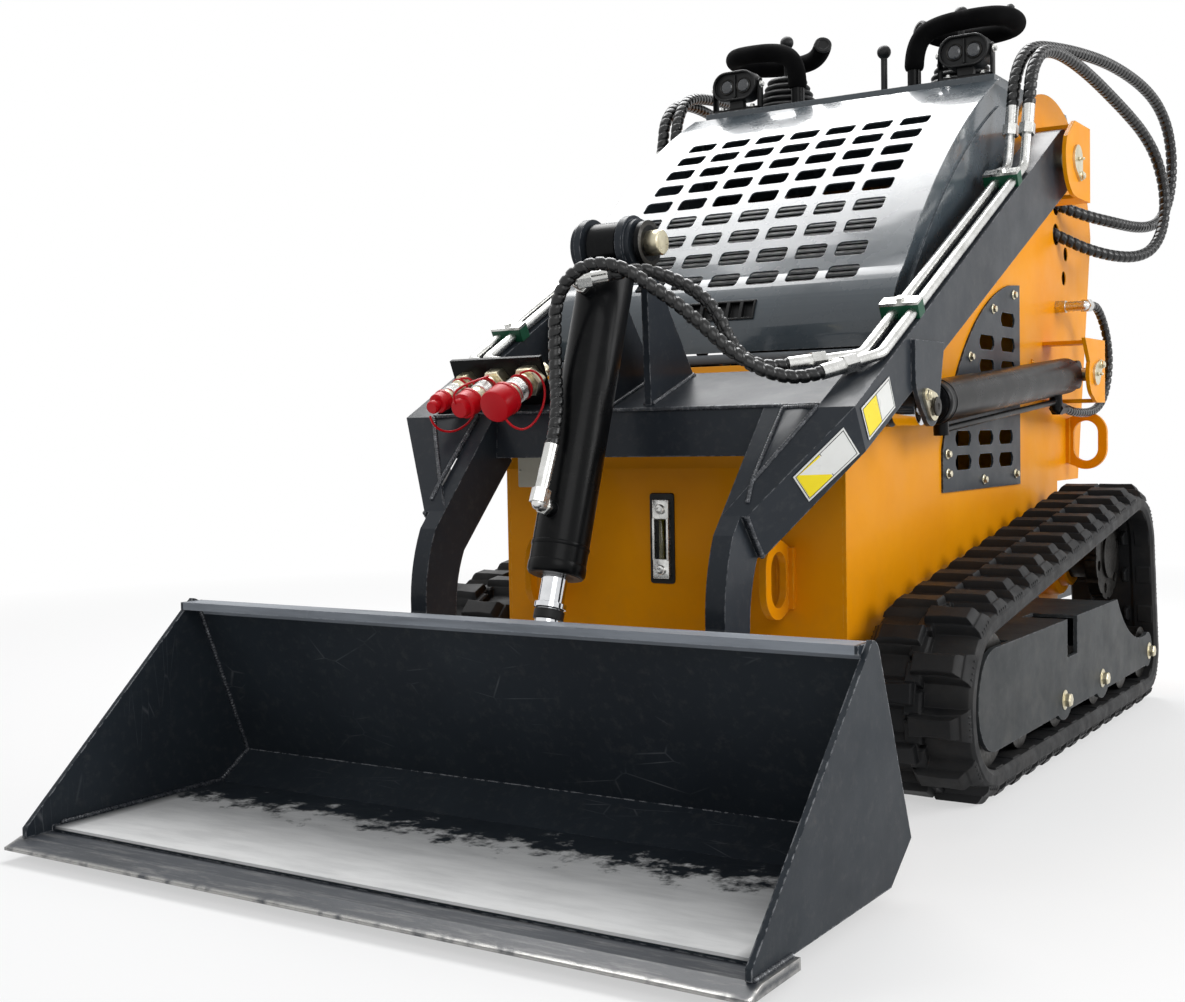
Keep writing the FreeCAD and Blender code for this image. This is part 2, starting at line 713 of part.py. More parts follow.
def attach_plate():
    """The plate on the bucket's back with its hinge ears, tilt ears and pin caps."""
    half = LEG_OUTER + ATTACH_MARGIN
    top = ATTACH_LOW + ATTACH_HEIGHT
    solids = [prism([on_back(ATTACH_LOW), on_back(top), on_back(top, ATTACH_PLATE),
                     on_back(ATTACH_LOW, ATTACH_PLATE)], -half, half)]
    low, high = (on_back(rise, ATTACH_PLATE) for rise in HINGE_EAR_ROOT)
    for x_low in HINGE_EARS_X:
        ear = ear_plate(BUCKET_HINGE, low, high, HINGE_EAR_RADIUS, x_low, x_low + EAR_THICKNESS,
                        BUCKET_PIN_RADIUS)
        solids += [ear, mirrored(ear)]
    low, high = (on_back(rise, ATTACH_PLATE) for rise in TILT_EAR_ROOT)
    outside = TILT_EAR_X + EAR_THICKNESS
    ear = ear_plate(TILT_ROD_PIN, low, high, TILT_EAR_RADIUS, TILT_EAR_X, outside, 0)
    cap = rod_x(TILT_ROD_PIN, TILT_PIN_RADIUS, outside, outside + PIN_HEAD)
    solids += [ear, mirrored(ear), cap, mirrored(cap)]
    return fused(solids)


def bucket_pins():
    """A headed pin through the two hinge ears on each side."""
    inside, outside = HINGE_EARS_X[0], HINGE_EARS_X[1] + EAR_THICKNESS
    pin = rod_x(BUCKET_HINGE, BUCKET_PIN_RADIUS, inside - PIN_HEAD, outside)
    head = rod_x(BUCKET_HINGE, BUCKET_PIN_RADIUS + PIN_HEAD_LIP, outside, outside + PIN_HEAD)
    return pair(pin.fuse(head))


# ---------------------------------------------------------------- body
BODY_INNER = BODY_HALF - BODY_PLATE
TOWER_REAR = (TOWER_CENTRE[0] + math.sqrt(TOWER_RADIUS ** 2 - TOWER_REAR_RISE ** 2),
              TOWER_CENTRE[1] + TOWER_REAR_RISE)


def vent_outline(inset):
    """The side vent's outline, shrunk by an inset."""
    front = VENT_FRONT + inset
    rear = VENT_REAR - inset
    low = VENT_LOW + inset
    shoulder = (VENT_SHOULDER[0], VENT_SHOULDER[1] - inset)
    curve = (VENT_CURVE[0] + inset, VENT_CURVE[1] - inset)
    return [(front, low), (rear, low), (rear, VENT_HIGH - inset * 2), shoulder,
            ("arc", curve, (front, VENT_FRONT_TOP))]


def body_side():
    """The left side plate with its hose holes and the vent's opening."""
    crest = (TOWER_CENTRE[0], TOWER_CENTRE[1] + TOWER_RADIUS)
    side = prism([(BODY_FRONT, BODY_BOTTOM), (BODY_REAR_FOOT, BODY_BOTTOM), (BODY_REAR_FOOT, TAIL_Z),
                  (TAIL_REAR, TAIL_Z), TOWER_REAR, ("arc", crest, SIDE_TOP_REAR), LEDGE_REAR,
                  (BODY_FRONT, LEDGE_FRONT_Z)], BODY_INNER, BODY_HALF)
    holes = [(centre, HOSE_HOLE_RADIUS) for centre in HOSE_HOLES]
    holes += [(centre, TOWER_HOLE_RADIUS) for centre in TOWER_HOLES]
    for centre, radius in holes:
        side = side.cut(rod_x(centre, radius, BODY_INNER - 1, BODY_HALF + 1))
    return side.cut(prism(vent_outline(VENT_LAP), BODY_INNER - 1, BODY_HALF + 1))


def body_shell():
    """The folded plate between the sides: ledge, front, floor, tail and rear."""
    return folded_plate([LEDGE_REAR, (BODY_FRONT, LEDGE_FRONT_Z), (BODY_FRONT, BODY_BOTTOM),
                         (BODY_REAR_FOOT, BODY_BOTTOM), (BODY_REAR_FOOT, TAIL_Z), (TAIL_REAR, TAIL_Z),
                         TOWER_REAR] + [polar(TOWER_CENTRE, TOWER_RADIUS, turn) for turn in TOWER_FOLDS],
                        BODY_PLATE, -BODY_INNER, BODY_INNER)


def octagon(half_wide, half_high, corner):
    """The corners of a slot with chamfered ends, as (across, up) pairs."""
    inner_wide = half_wide - corner
    inner_high = half_high - corner
    return [(-inner_wide, -half_high), (inner_wide, -half_high), (half_wide, -inner_high),
            (half_wide, inner_high), (inner_wide, half_high), (-inner_wide, half_high),
            (-half_wide, inner_high), (-half_wide, -inner_high)]


def side_vents():
    """The bolted sheet over each side's opening, with rows of slots."""
    outside = BODY_HALF + VENT_SHEET
    sheet = prism(vent_outline(0.0), BODY_HALF, outside)
    shape = octagon(VENT_SLOT_LENGTH / 2, VENT_SLOT_HEIGHT / 2, VENT_SLOT_HEIGHT / 3)
    for z, stations in VENT_ROWS:
        for y in stations:
            slot = prism([(y + along, z + up) for along, up in shape], BODY_HALF - 1, outside + 1)
            sheet = sheet.cut(slot)
    return pair(sheet)


def c_bracket(pin, top, low, flange_front, ear_top, radius, hole):
    """A C-shaped bracket: an ear plate outboard and two flanges to the body side."""
    rear = pin[0] + radius + EAR_TAIL
    front = pin[0] + FLANGE_START
    ear = prism([(rear, low - FLANGE_PLATE), (rear, top + FLANGE_PLATE), (ear_top, top + FLANGE_PLATE),
                 polar(pin, radius, 150.0), ("arc", polar(pin, radius, 205.0), polar(pin, radius, 255.0)),
                 (front, low - FLANGE_PLATE)], EAR_INNER, EAR_OUTER)
    upper = box((BODY_HALF, EAR_INNER), (flange_front, rear), (top, top + FLANGE_PLATE))
    lower = box((BODY_HALF, EAR_INNER), (front, rear), (low - FLANGE_PLATE, low))
    bracket = ear.multiFuse([upper, lower])
    return bracket.cut(rod_x(pin, hole, BODY_HALF - 1, EAR_OUTER + 1)).removeSplitter()


def pivot_brackets():
    """The brackets that carry the lift arms' pivots."""
    reach = ARM_END_RADIUS + ARM_FLANGE_CLEAR
    return pair(c_bracket(ARM_PIVOT, ARM_PIVOT[1] + reach, ARM_PIVOT[1] - reach,
                          ARM_PIVOT[0] + FLANGE_START * 2, ARM_PIVOT[0] - ARM_EAR_FRONT, ARM_EAR_RADIUS,
                          PIVOT_PIN_RADIUS))


def lift_brackets():
    """The brackets that carry the lift cylinders' rear pins."""
    reach = LIFT_BARREL_RADIUS + LIFT_FLANGE_CLEAR
    return pair(c_bracket(LIFT_REAR_PIN, LIFT_REAR_PIN[1] + reach + LIFT_HEADROOM, LIFT_REAR_PIN[1] - reach,
                          LIFT_REAR_PIN[0] + FLANGE_START, LIFT_REAR_PIN[0] - LIFT_EAR_FRONT,
                          LIFT_EAR_RADIUS, CYLINDER_PIN_RADIUS))


def keeper(pin, pin_radius, degrees, x):
    """A teardrop plate over a pin's end with the bolt that stops the pin from turning."""
    big = pin_radius + KEEPER_LIP
    bolt = polar(pin, KEEPER_REACH, degrees)
    tilt = math.degrees(math.asin((KEEPER_NOSE - big) / KEEPER_REACH))
    one = degrees - 90.0 - tilt
    two = degrees + 90.0 + tilt
    plate = prism([polar(bolt, KEEPER_NOSE, one),
                   ("arc", polar(bolt, KEEPER_NOSE, degrees), polar(bolt, KEEPER_NOSE, two)),
                   polar(pin, big, two), ("arc", polar(pin, big, degrees + 180.0), polar(pin, big, one))],
                  x, x + KEEPER_PLATE)
    head = hex_bar(yz(bolt, x + KEEPER_PLATE), X_AXIS, KEEPER_NOSE * 1.4, KEEPER_PLATE)
    return plate.fuse(head)


def pivot_pins():
    """The arm pivots and the lift cylinders' rear pins, each with its keeper."""
    solids = []
    for pin, radius, degrees in ((ARM_PIVOT, PIVOT_PIN_RADIUS, ARM_KEEPER),
                                 (LIFT_REAR_PIN, CYLINDER_PIN_RADIUS, LIFT_KEEPER)):
        shaft = rod_x(pin, radius, BODY_HALF, EAR_OUTER)
        solid = shaft.fuse(keeper(pin, radius, degrees, EAR_OUTER)).removeSplitter()
        solids += [solid, mirrored(solid)]
    return Part.makeCompound(solids)


def ring_blank():
    """A tie-down ring that stands off a wall at y = 0 towards -Y, centred on x and z."""
    half = RING_PLATE / 2
    middle = RING_RADIUS - RING_REACH

    def side(centre_z, degrees, radius):
        return polar((middle, centre_z), radius, degrees)

    ring = prism([(0.0, RING_ROOT), side(RING_STRAIGHT, 60.0, RING_RADIUS),
                  ("arc", side(RING_STRAIGHT, 120.0, RING_RADIUS), side(RING_STRAIGHT, 180.0, RING_RADIUS)),
                  side(-RING_STRAIGHT, 180.0, RING_RADIUS),
                  ("arc", side(-RING_STRAIGHT, 240.0, RING_RADIUS), side(-RING_STRAIGHT, 300.0, RING_RADIUS)),
                  (0.0, -RING_ROOT)], -half, half)
    hole = prism([side(RING_STRAIGHT, 0.0, RING_HOLE),
                  ("arc", side(RING_STRAIGHT, 90.0, RING_HOLE), side(RING_STRAIGHT, 180.0, RING_HOLE)),
                  side(-RING_STRAIGHT, 180.0, RING_HOLE),
                  ("arc", side(-RING_STRAIGHT, 270.0, RING_HOLE), side(-RING_STRAIGHT, 0.0, RING_HOLE))],
                 -half - 1, half + 1)
    pad = box((-half - RING_PAD, half + RING_PAD), (-RING_PAD_DEPTH, 0.0), (-RING_ROOT, RING_ROOT))
    return ring.cut(hole).fuse(pad).removeSplitter()


def tie_down_rings():
    """The two rings on the front face and the two on the rear of the sides."""
    front = ring_blank()
    front.translate(V(FRONT_RING[0], BODY_FRONT, FRONT_RING[1]))
    rear = ring_blank()
    rear.rotate(V(0, 0, 0), Z_AXIS, 90.0)
    rear.translate(V(BODY_HALF, REAR_RING[0], REAR_RING[1]))
    return Part.makeCompound([front, mirrored(front), rear, mirrored(rear)])


def engine_block():
    """Engine, pump and tank as one block with its head and air cleaner."""
    base = BODY_BOTTOM + BODY_PLATE
    block = box(ENGINE_X, ENGINE_Y, (base, ENGINE_TOP))
    head = box((ENGINE_X[0] + ENGINE_STEP, ENGINE_X[1] - ENGINE_STEP),
               (ENGINE_Y[0] + ENGINE_STEP, ENGINE_Y[1] - ENGINE_STEP), (ENGINE_TOP, ENGINE_TOP + ENGINE_HEAD))
    cleaner = rod_x((ENGINE_Y[1] - ENGINE_STEP * 2, ENGINE_TOP + ENGINE_HEAD + CLEANER_RADIUS / 2),
                    CLEANER_RADIUS, ENGINE_X[0] + ENGINE_STEP, ENGINE_X[1] - ENGINE_STEP)
    return fused([block, head, cleaner])


def oil_cooler():
    """The finned cooler behind the hood's slots, on rails that reach the side plates."""
    half = BODY_INNER - COOLER_RAIL
    core = box((-half, half), (0.0, COOLER_LENGTH), (-COOLER_THICKNESS, 0.0))
    fin_half = half - COOLER_TANK
    count = int(COOLER_LENGTH / COOLER_FIN_PITCH)
    fins = []
    for i in range(count):
        low = (i + 0.5) * COOLER_LENGTH / count - COOLER_FIN / 2
        fins.append(box((-fin_half, fin_half), (low, low + COOLER_FIN), (0.0, COOLER_FIN_DEPTH)))
    rail = box((half, BODY_INNER), (0.0, COOLER_LENGTH), (-COOLER_THICKNESS, 0.0))
    slab = core.multiFuse(fins + [rail, mirrored(rail)])
    slab.rotate(V(0, 0, 0), X_AXIS, COOLER_SLOPE)
    slab.translate(yz(COOLER_LOW))
    front = COOLER_LOW[0] + COOLER_LEG
    leg = box((half, BODY_INNER), (front, front + COOLER_LEG),
              (COOLER_LOW[1] - COOLER_LEG_DROP, COOLER_LOW[1] + COOLER_LEG / 2))
    return slab.multiFuse([leg, mirrored(leg)]).removeSplitter()


# ---------------------------------------------------------------- hood
def circle_through(a, b, c):
    """Centre and radius of the circle through three (y, z) points."""
    circle = Part.Arc(yz(a), yz(b), yz(c)).toShape().Curve
    return (circle.Center.y, circle.Center.z), circle.Radius


HOOD_LOW = circle_through(HOOD_FOOT, HOOD_LOW_MID, HOOD_KNEE)
HOOD_HIGH = circle_through(HOOD_KNEE, HOOD_HIGH_MID, HOOD_TOP)


def under_hood(point, circle, depth):
    """A point of the hood line moved towards its circle's centre by a depth."""
    centre, radius = circle
    return toward(point, centre, depth)


def hood_line(depth):
    """The hood's front line at a depth, from its foot to its top."""
    return [under_hood(HOOD_FOOT, HOOD_LOW, depth),
            ("arc", under_hood(HOOD_LOW_MID, HOOD_LOW, depth), under_hood(HOOD_KNEE, HOOD_LOW, depth)),
            under_hood(HOOD_KNEE, HOOD_HIGH, depth),
            ("arc", under_hood(HOOD_HIGH_MID, HOOD_HIGH, depth), under_hood(HOOD_TOP, HOOD_HIGH, depth))]


def hood_band(outer_depth, inner_depth, x_low, x_high):
    """A curved sheet under the hood line between two depths."""
    back = [under_hood(HOOD_TOP, HOOD_HIGH, inner_depth),
            ("arc", under_hood(HOOD_HIGH_MID, HOOD_HIGH, inner_depth),
             under_hood(HOOD_KNEE, HOOD_HIGH, inner_depth)),
            under_hood(HOOD_KNEE, HOOD_LOW, inner_depth),
            ("arc", under_hood(HOOD_LOW_MID, HOOD_LOW, inner_depth),
             under_hood(HOOD_FOOT, HOOD_LOW, inner_depth))]
    return prism(hood_line(outer_depth) + back, x_low, x_high)


def latch_block(proud, depth, margin):
    """The part of the hood band that the latch fills."""
    half = LATCH_WIDTH / 2 + margin
    rise = LATCH_HEIGHT / 2 + margin
    band = hood_band(-proud, depth, LATCH_X - half, LATCH_X + half)
    slab = box((-HOOD_HALF, HOOD_HALF), (HOOD_FOOT[0] - LATCH_HEIGHT, HOOD_KNEE[0] + LATCH_HEIGHT),
               (LATCH_Z - rise, LATCH_Z + rise))
    return band.common(slab)


def hood():
    """The slotted hood, curved in two sweeps, with its hinge knuckles and the latch's hole."""
    panel = hood_band(0.0, HOOD_SHEET, -HOOD_HALF, HOOD_HALF)
    centre, radius = HOOD_HIGH
    top_angle = math.degrees(math.atan2(HOOD_TOP[1] - centre[1], HOOD_TOP[0] - centre[0]))
    shape = octagon(SLOT_WIDTH / 2, SLOT_HEIGHT / 2, SLOT_CORNER)
    deep = HOOD_SHEET * 3
    cutters = [latch_block(deep, deep, 0.0)]
    for row in range(SLOT_ROWS):
        angle = top_angle + math.degrees((SLOT_TOP_OFFSET + row * SLOT_PITCH_ALONG) / radius)
        for column in range(SLOT_COLUMNS):
            x = (column - (SLOT_COLUMNS - 1) / 2) * SLOT_PITCH_X
            wire = Part.makePolygon([V(px, py, -deep) for px, py in shape + shape[:1]])
            cutter = Part.Face(wire).extrude(V(0, 0, deep * 2))
            cutter.rotate(V(0, 0, 0), X_AXIS, angle - 90.0)
            cutter.translate(yz(polar(centre, radius, angle), x))
            cutters.append(cutter)
    panel = panel.cut(Part.makeCompound(cutters))
    knuckles = []
    bores = []
    neck = HOOD_KNUCKLE_RADIUS * 0.7
    for x in HOOD_KNUCKLES:
        high = x + HOOD_KNUCKLE_LENGTH
        knuckles.append(rod_x(HOOD_HINGE, HOOD_KNUCKLE_RADIUS, x, high))
        knuckles.append(prism([(HOOD_TOP[0] - HOOD_HINGE_RISE[0], HOOD_TOP[1] - HOOD_SHEET * 2),
                               (HOOD_HINGE[0], HOOD_HINGE[1] - neck), (HOOD_HINGE[0], HOOD_HINGE[1] + neck),
                               (HOOD_TOP[0] - 1.0, HOOD_TOP[1] - 1.0)], x, high))
        bores.append(rod_x(HOOD_HINGE, HOOD_PIN_RADIUS + RUNNING_GAP, x - 1, high + 1))
    return panel.multiFuse(knuckles).cut(Part.makeCompound(bores)).removeSplitter()


def hood_latch():
    """The ribbed pull in the hood's lower front."""
    block = latch_block(LATCH_PROUD, LATCH_DEPTH, 0.0)
    low = LATCH_X - LATCH_WIDTH / 2
    pitch = LATCH_WIDTH / LATCH_RIBS
    pockets = []
    for i in range(LATCH_RIBS):
        x_low = low + i * pitch + LATCH_WALL
        groove = latch_block(LATCH_PROUD + 1.0, LATCH_GROOVE, -LATCH_WALL)
        pockets.append(groove.common(box((x_low, x_low + pitch - 2 * LATCH_WALL),
                                         (HOOD_FOOT[0] - LATCH_WIDTH, HOOD_KNEE[0] + LATCH_WIDTH),
                                         (LATCH_Z - LATCH_HEIGHT, LATCH_Z + LATCH_HEIGHT))))
    return block.cut(Part.makeCompound(pockets))


def hood_hinge():
    """The hinge pins on their lugs, one beside each knuckle of the hood."""
    solids = []
    nose = HOOD_PIN_RADIUS + 2.0
    clear = HOOD_LUG + SIDE_GAP
    for x in HOOD_KNUCKLES:
        high = x + HOOD_KNUCKLE_LENGTH
        pieces = [rod_x(HOOD_HINGE, HOOD_PIN_RADIUS, x - clear, high + clear)]
        for low in (x - clear, high + SIDE_GAP):
            pieces.append(prism([(CONSOLE_FRONT, HOOD_HINGE[1] - nose), (CONSOLE_FRONT, HOOD_HINGE[1] + nose),
                                 polar(HOOD_HINGE, nose, 90.0),
                                 ("arc", polar(HOOD_HINGE, nose, 180.0), polar(HOOD_HINGE, nose, 270.0))],
                                low, low + HOOD_LUG))
        solids.append(fused(pieces))
    return Part.makeCompound(solids)


def side_cheeks():
    """The fixed dark cheeks between the hood's edge and the body sides, each with a pressed panel."""
    depth = HOOD_SHEET + HOOD_GAP
    foot = under_hood(HOOD_FOOT, HOOD_LOW, depth)
    rear = SIDE_TOP_REAR[0] + CHEEK_RISE
    points = hood_line(depth) + [(rear, HOOD_TOP[1] - depth), (rear, SIDE_TOP_REAR[1]),
                                 (SIDE_TOP_REAR[0], SIDE_TOP_REAR[1] - CHEEK_RISE),
                                 (foot[0] + CHEEK_RISE / 2, LEDGE_REAR[1] - CHEEK_RISE / 2),
                                 (foot[0], LEDGE_REAR[1])]
    outside = BODY_HALF + CHEEK_SHEET
    cheek = prism(points, BODY_HALF, outside)
    panel = outline(points, outside).makeOffset2D(-PRESSING_INSET)
    return pair(cheek.fuse(panel.extrude(V(PRESSING_DEPTH, 0, 0))).removeSplitter())


# ---------------------------------------------------------------- lift arms
def arm_tangent(point, side):
    """Where the line from a point touches the round arm end; side is +1 above, -1 below."""
    dy = ARM_PIVOT[0] - point[0]
    dz = ARM_PIVOT[1] - point[1]
    swing = math.asin(ARM_END_RADIUS / math.hypot(dy, dz))
    direction = math.atan2(dz, dy) + side * swing
    return polar(ARM_PIVOT, ARM_END_RADIUS, math.degrees(direction) + side * 90.0)


def four_corners(one, other, x_low, x_high):
    """A closed rectangle between two (y, z) points and two X planes."""
    corners = [yz(one, x_low), yz(one, x_high), yz(other, x_high), yz(other, x_low)]
    return Part.makePolygon(corners + corners[:1])


def doubler(x_low, x_high):
    """A plate on the arm's side that hangs down to the lift cylinder's front pin."""
    pin = LIFT_FRONT_PIN
    cheek = polar(pin, DOUBLER_RADIUS, 210.0)
    plate = prism([(DOUBLER_FRONT, DOUBLER_TOP), DOUBLER_THROAT, ("arc", DOUBLER_HOLLOW, cheek),
                   ("arc", polar(pin, DOUBLER_RADIUS, 275.0), polar(pin, DOUBLER_RADIUS, 0.0)),
                   (pin[0] + DOUBLER_REAR, DOUBLER_TOP)], x_low, x_high)
    return plate.cut(rod_x(pin, CYLINDER_PIN_RADIUS, x_low - 1, x_high + 1))


def lift_arm():
    """The left arm: box beam, inward knee, leg down to the bucket's hinge, and two doublers."""
    top = arm_tangent(ARM_BEND_TOP, 1)
    low = arm_tangent(ARM_BEND_BOTTOM, -1)
    beam = prism([ARM_BEND_TOP, top, ("arc", polar(ARM_PIVOT, ARM_END_RADIUS, 30.0), low), ARM_BEND_BOTTOM],
                 ARM_INNER, ARM_OUTER)
    bore = rod_x(ARM_PIVOT, PIVOT_PIN_RADIUS + RUNNING_GAP, ARM_INNER - 1, ARM_OUTER + 1)
    knee = Part.makeLoft([four_corners(ARM_BEND_TOP, ARM_BEND_BOTTOM, ARM_INNER, ARM_OUTER),
                          four_corners(LEG_KNEE_TOP, LEG_KNEE_BOTTOM, LEG_INNER, LEG_OUTER + LEG_KNEE_LAP)],
                         True, True)
    heel = (BUCKET_HINGE[0] + LEG_BOSS_RADIUS, BUCKET_HINGE[1])
    toe = (BUCKET_HINGE[0] - LEG_BOSS_RADIUS, BUCKET_HINGE[1] + LEG_TOE_RISE)
    leg = prism([LEG_CAP_REAR, LEG_CAP_FRONT, ("arc", LEG_SHIN_MID, LEG_SHIN), toe,
                 ("arc", (BUCKET_HINGE[0], BUCKET_HINGE[1] - LEG_BOSS_RADIUS), heel), LEG_CALF,
                 ("arc", LEG_CALF_MID, LEG_CALF_TOP), LEG_HEEL], LEG_INNER, LEG_OUTER)
    hole = rod_x(BUCKET_HINGE, BUCKET_PIN_RADIUS + RUNNING_GAP, LEG_INNER - 1, LEG_OUTER + 1)
    return fused([beam.cut(bore), knee, leg.cut(hole), doubler(ARM_OUTER, ARM_OUTER + DOUBLER),
                  doubler(ARM_INNER - DOUBLER, ARM_INNER)])


def crossmember(left_arm):
    """The box between the arms behind their bend."""
    beam = prism([CROSS_FRONT_LOW, CROSS_REAR_LOW, CROSS_REAR_MID, CROSS_REAR_TOP, CROSS_FRONT_TOP],
                 -ARM_INNER, ARM_INNER)
    return beam.cut(left_arm).cut(mirrored(left_arm))


def tilt_bracket():
    """Two bossed gussets on the crossmember that hold the tilt cylinder's top pin."""
    pin = TILT_TOP_PIN
    run = math.dist(CROSS_FRONT_TOP, CROSS_REAR_TOP)
    outside = GUSSET_INNER + GUSSET_PLATE
    head = GUSSET_HEAD_RADIUS
    plate = prism([polar(pin, head, -20.0), ("arc", polar(pin, head, 90.0), polar(pin, head, 200.0)),
                   ("arc", polar(pin, head, 250.0), polar(pin, head, -45.0)),
                   toward(CROSS_FRONT_TOP, CROSS_REAR_TOP, GUSSET_FOOT_FRONT),
                   toward(CROSS_FRONT_TOP, CROSS_REAR_TOP, run - GUSSET_FOOT_REAR)], GUSSET_INNER, outside)
    boss = rod_x(pin, GUSSET_BOSS_RADIUS, outside, outside + GUSSET_BOSS)
    bore = rod_x(pin, TILT_PIN_RADIUS, GUSSET_INNER - 1, outside + GUSSET_BOSS + 1)
    return pair(plate.fuse(boss).cut(bore).removeSplitter())


def tilt_pin():
    """The tilt cylinder's top pin through both gussets."""
    end = GUSSET_INNER + GUSSET_PLATE + GUSSET_BOSS + GUSSET_PIN_PROUD
    return rod_x(TILT_TOP_PIN, TILT_PIN_RADIUS, -end, end)


def lift_front_pins():
    """The pin's ends in the arm's doublers; its middle is on the rod's eye."""
    inner = rod_x(LIFT_FRONT_PIN, CYLINDER_PIN_RADIUS, ARM_INNER - DOUBLER, ARM_INNER)
    outer = rod_x(LIFT_FRONT_PIN, CYLINDER_PIN_RADIUS, ARM_OUTER, ARM_OUTER + DOUBLER)
    outer = fused([outer, keeper(LIFT_FRONT_PIN, CYLINDER_PIN_RADIUS, FRONT_KEEPER, ARM_OUTER + DOUBLER)])
    return Part.makeCompound([inner, outer, mirrored(inner), mirrored(outer)])


# ---------------------------------------------------------------- tubes, clamps and couplers
ARM_TOP_END = arm_tangent(ARM_BEND_TOP, 1)
ARM_RUN = toward((0.0, 0.0), (ARM_TOP_END[0] - ARM_BEND_TOP[0], ARM_TOP_END[1] - ARM_BEND_TOP[1]), 1.0)
ARM_UP = (-ARM_RUN[1], ARM_RUN[0])


def over_arm(y, rise):
    """The (y, z) point at a station, a rise square above the arm's top."""
    start = moved(ARM_BEND_TOP, ARM_UP, rise)
    return (y, start[1] + (y - start[0]) * ARM_RUN[1] / ARM_RUN[0])


def hose_end(start, way, across, ferrule_radius, ferrule_length):
    """A hexagon nut and the ferrule beyond it."""
    nut = hex_bar(start, way, across, NUT_LENGTH)
    ferrule = Part.makeCylinder(ferrule_radius, ferrule_length, start + way * NUT_LENGTH, way)
    return nut.fuse(ferrule)


def tube_run(x, station):
    """The corners of a tube from a station along the arm's top to its upper end."""
    return [yz(over_arm(station, TUBE_LIFT), x), yz(over_arm(TUBE_RISE_Y, TUBE_LIFT), x), yz(TUBE_TOP, x)]


def tube_nose(x, hose_start):
    """Where a left tube meets its front nut, and the direction of the hose there."""
    front = yz(over_arm(TUBE_FRONT_Y, TUBE_LIFT), x)
    inward = (V(*hose_start) - front).normalize()
    return V(*hose_start) - inward * (NUT_LENGTH + FERRULE_LENGTH), inward


def tube_rise():
    """The direction in which the hoses leave the tubes' upper ends."""
    return (yz(TUBE_TOP) - yz(over_arm(TUBE_RISE_Y, TUBE_LIFT))).normalize()


def upper_end(x):
    """The nut and ferrule at a tube's upper end."""
    return hose_end(yz(TUBE_TOP, x), tube_rise(), NUT_ACROSS, FERRULE_RADIUS, FERRULE_LENGTH)


def arm_tubes():
    """The two steel tubes on the left arm with the nuts and ferrules of their hoses."""
    solids = []
    for x, hose_start in zip(TUBE_X, TUBE_HOSE_STARTS):
        nose, inward = tube_nose(x, hose_start)
        tube = pipe([nose] + tube_run(x, TUBE_FRONT_Y), TUBE_RADIUS, TUBE_BEND)
        front_end = hose_end(nose, inward, NUT_ACROSS, FERRULE_RADIUS, FERRULE_LENGTH)
        solids.append(fused([tube, front_end, upper_end(x)]))
    return solids


def coupler_tubes():
    """The two steel tubes on the right arm, which lead into the outer couplers' tails."""
    solids = []
    for x, row in zip(TUBE_X, COUPLERS[:0:-1]):
        tail = coupler_start(row[0], -COUPLER_PLATE - NUT_LENGTH - COUPLER_TAIL)
        corners = [tail, tail - COUPLER_WAY * COUPLER_RUN] + tube_run(-x, COUPLER_TUBE_Y)
        tube = pipe(corners, TUBE_RADIUS, COUPLER_BEND)
        solids.append(fused([tube, upper_end(-x)]))
    return solids


def clamp_block(y, low, high):
    """A block across the arm's outer side at a station, between two heights above its top."""
    middle = over_arm(y, 0.0)
    half = CLAMP_LENGTH / 2
    corners = [moved(moved(middle, ARM_RUN, along), ARM_UP, up)
               for along, up in ((-half, low), (half, low), (half, high), (-half, high))]
    return prism(corners, ARM_OUTER - CLAMP_WIDTH, ARM_OUTER)


def tube_clamps(tubes):
    """The plastic blocks that hold the tubes on the arms."""
    blocks = [clamp_block(y, 0.0, CLAMP_HEIGHT).cut(Part.makeCompound(tubes)) for y in CLAMP_STATIONS]
    return Part.makeCompound(blocks + [mirrored(block) for block in blocks])


def clamp_covers():
    """The bolted plates on the clamps."""
    solids = []
    for y in CLAMP_STATIONS:
        plate = clamp_block(y, CLAMP_HEIGHT, CLAMP_HEIGHT + CLAMP_COVER)
        foot = moved(over_arm(y, 0.0), ARM_UP, CLAMP_HEIGHT + CLAMP_COVER)
        head = hex_bar(yz(foot, ARM_OUTER - CLAMP_WIDTH / 2), yz(ARM_UP), CLAMP_BOLT, CLAMP_COVER)
        solids.append(plate.fuse(head))
    return Part.makeCompound(solids + [mirrored(solid) for solid in solids])


COUPLER_WAY = V(0, -math.cos(math.radians(COUPLER_DIP)), -math.sin(math.radians(COUPLER_DIP)))


def coupler_start(x, ahead=0.0):
    """Where a coupler's line leaves the plate's front face."""
    return yz(COUPLER_CENTRE, x) + COUPLER_WAY * (COUPLER_PLATE + ahead)


def coupler_plate(beam):
    """The small plate on the crossmember that carries the auxiliary couplers."""
    low, high = COUPLER_PLATE_X
    deep = COUPLER_PLATE_UP * 2
    plate = box((low, high), (-COUPLER_PLATE, 0.0), (-deep, COUPLER_PLATE_UP))
    plate.rotate(V(0, 0, 0), X_AXIS, COUPLER_DIP)
    plate.translate(yz(COUPLER_CENTRE))
    return plate.cut(beam)


def aux_couplers():
    """Hexagon-footed couplers in the plate, each with the tube end behind it."""
    solids = []
    for x, across, radius, length, _ in COUPLERS:
        start = coupler_start(x)
        foot = hex_bar(start, COUPLER_WAY, across, COUPLER_HEX)
        body = Part.makeCylinder(radius, length, start, COUPLER_WAY)
        behind = coupler_start(x, -COUPLER_PLATE)
        nut = hex_bar(behind, -COUPLER_WAY, NUT_ACROSS, NUT_LENGTH)
        tail = Part.makeCylinder(FERRULE_RADIUS, NUT_LENGTH + COUPLER_TAIL, behind, -COUPLER_WAY)
        solids += [fused([foot, body]), fused([nut, tail])]
    return Part.makeCompound(solids)


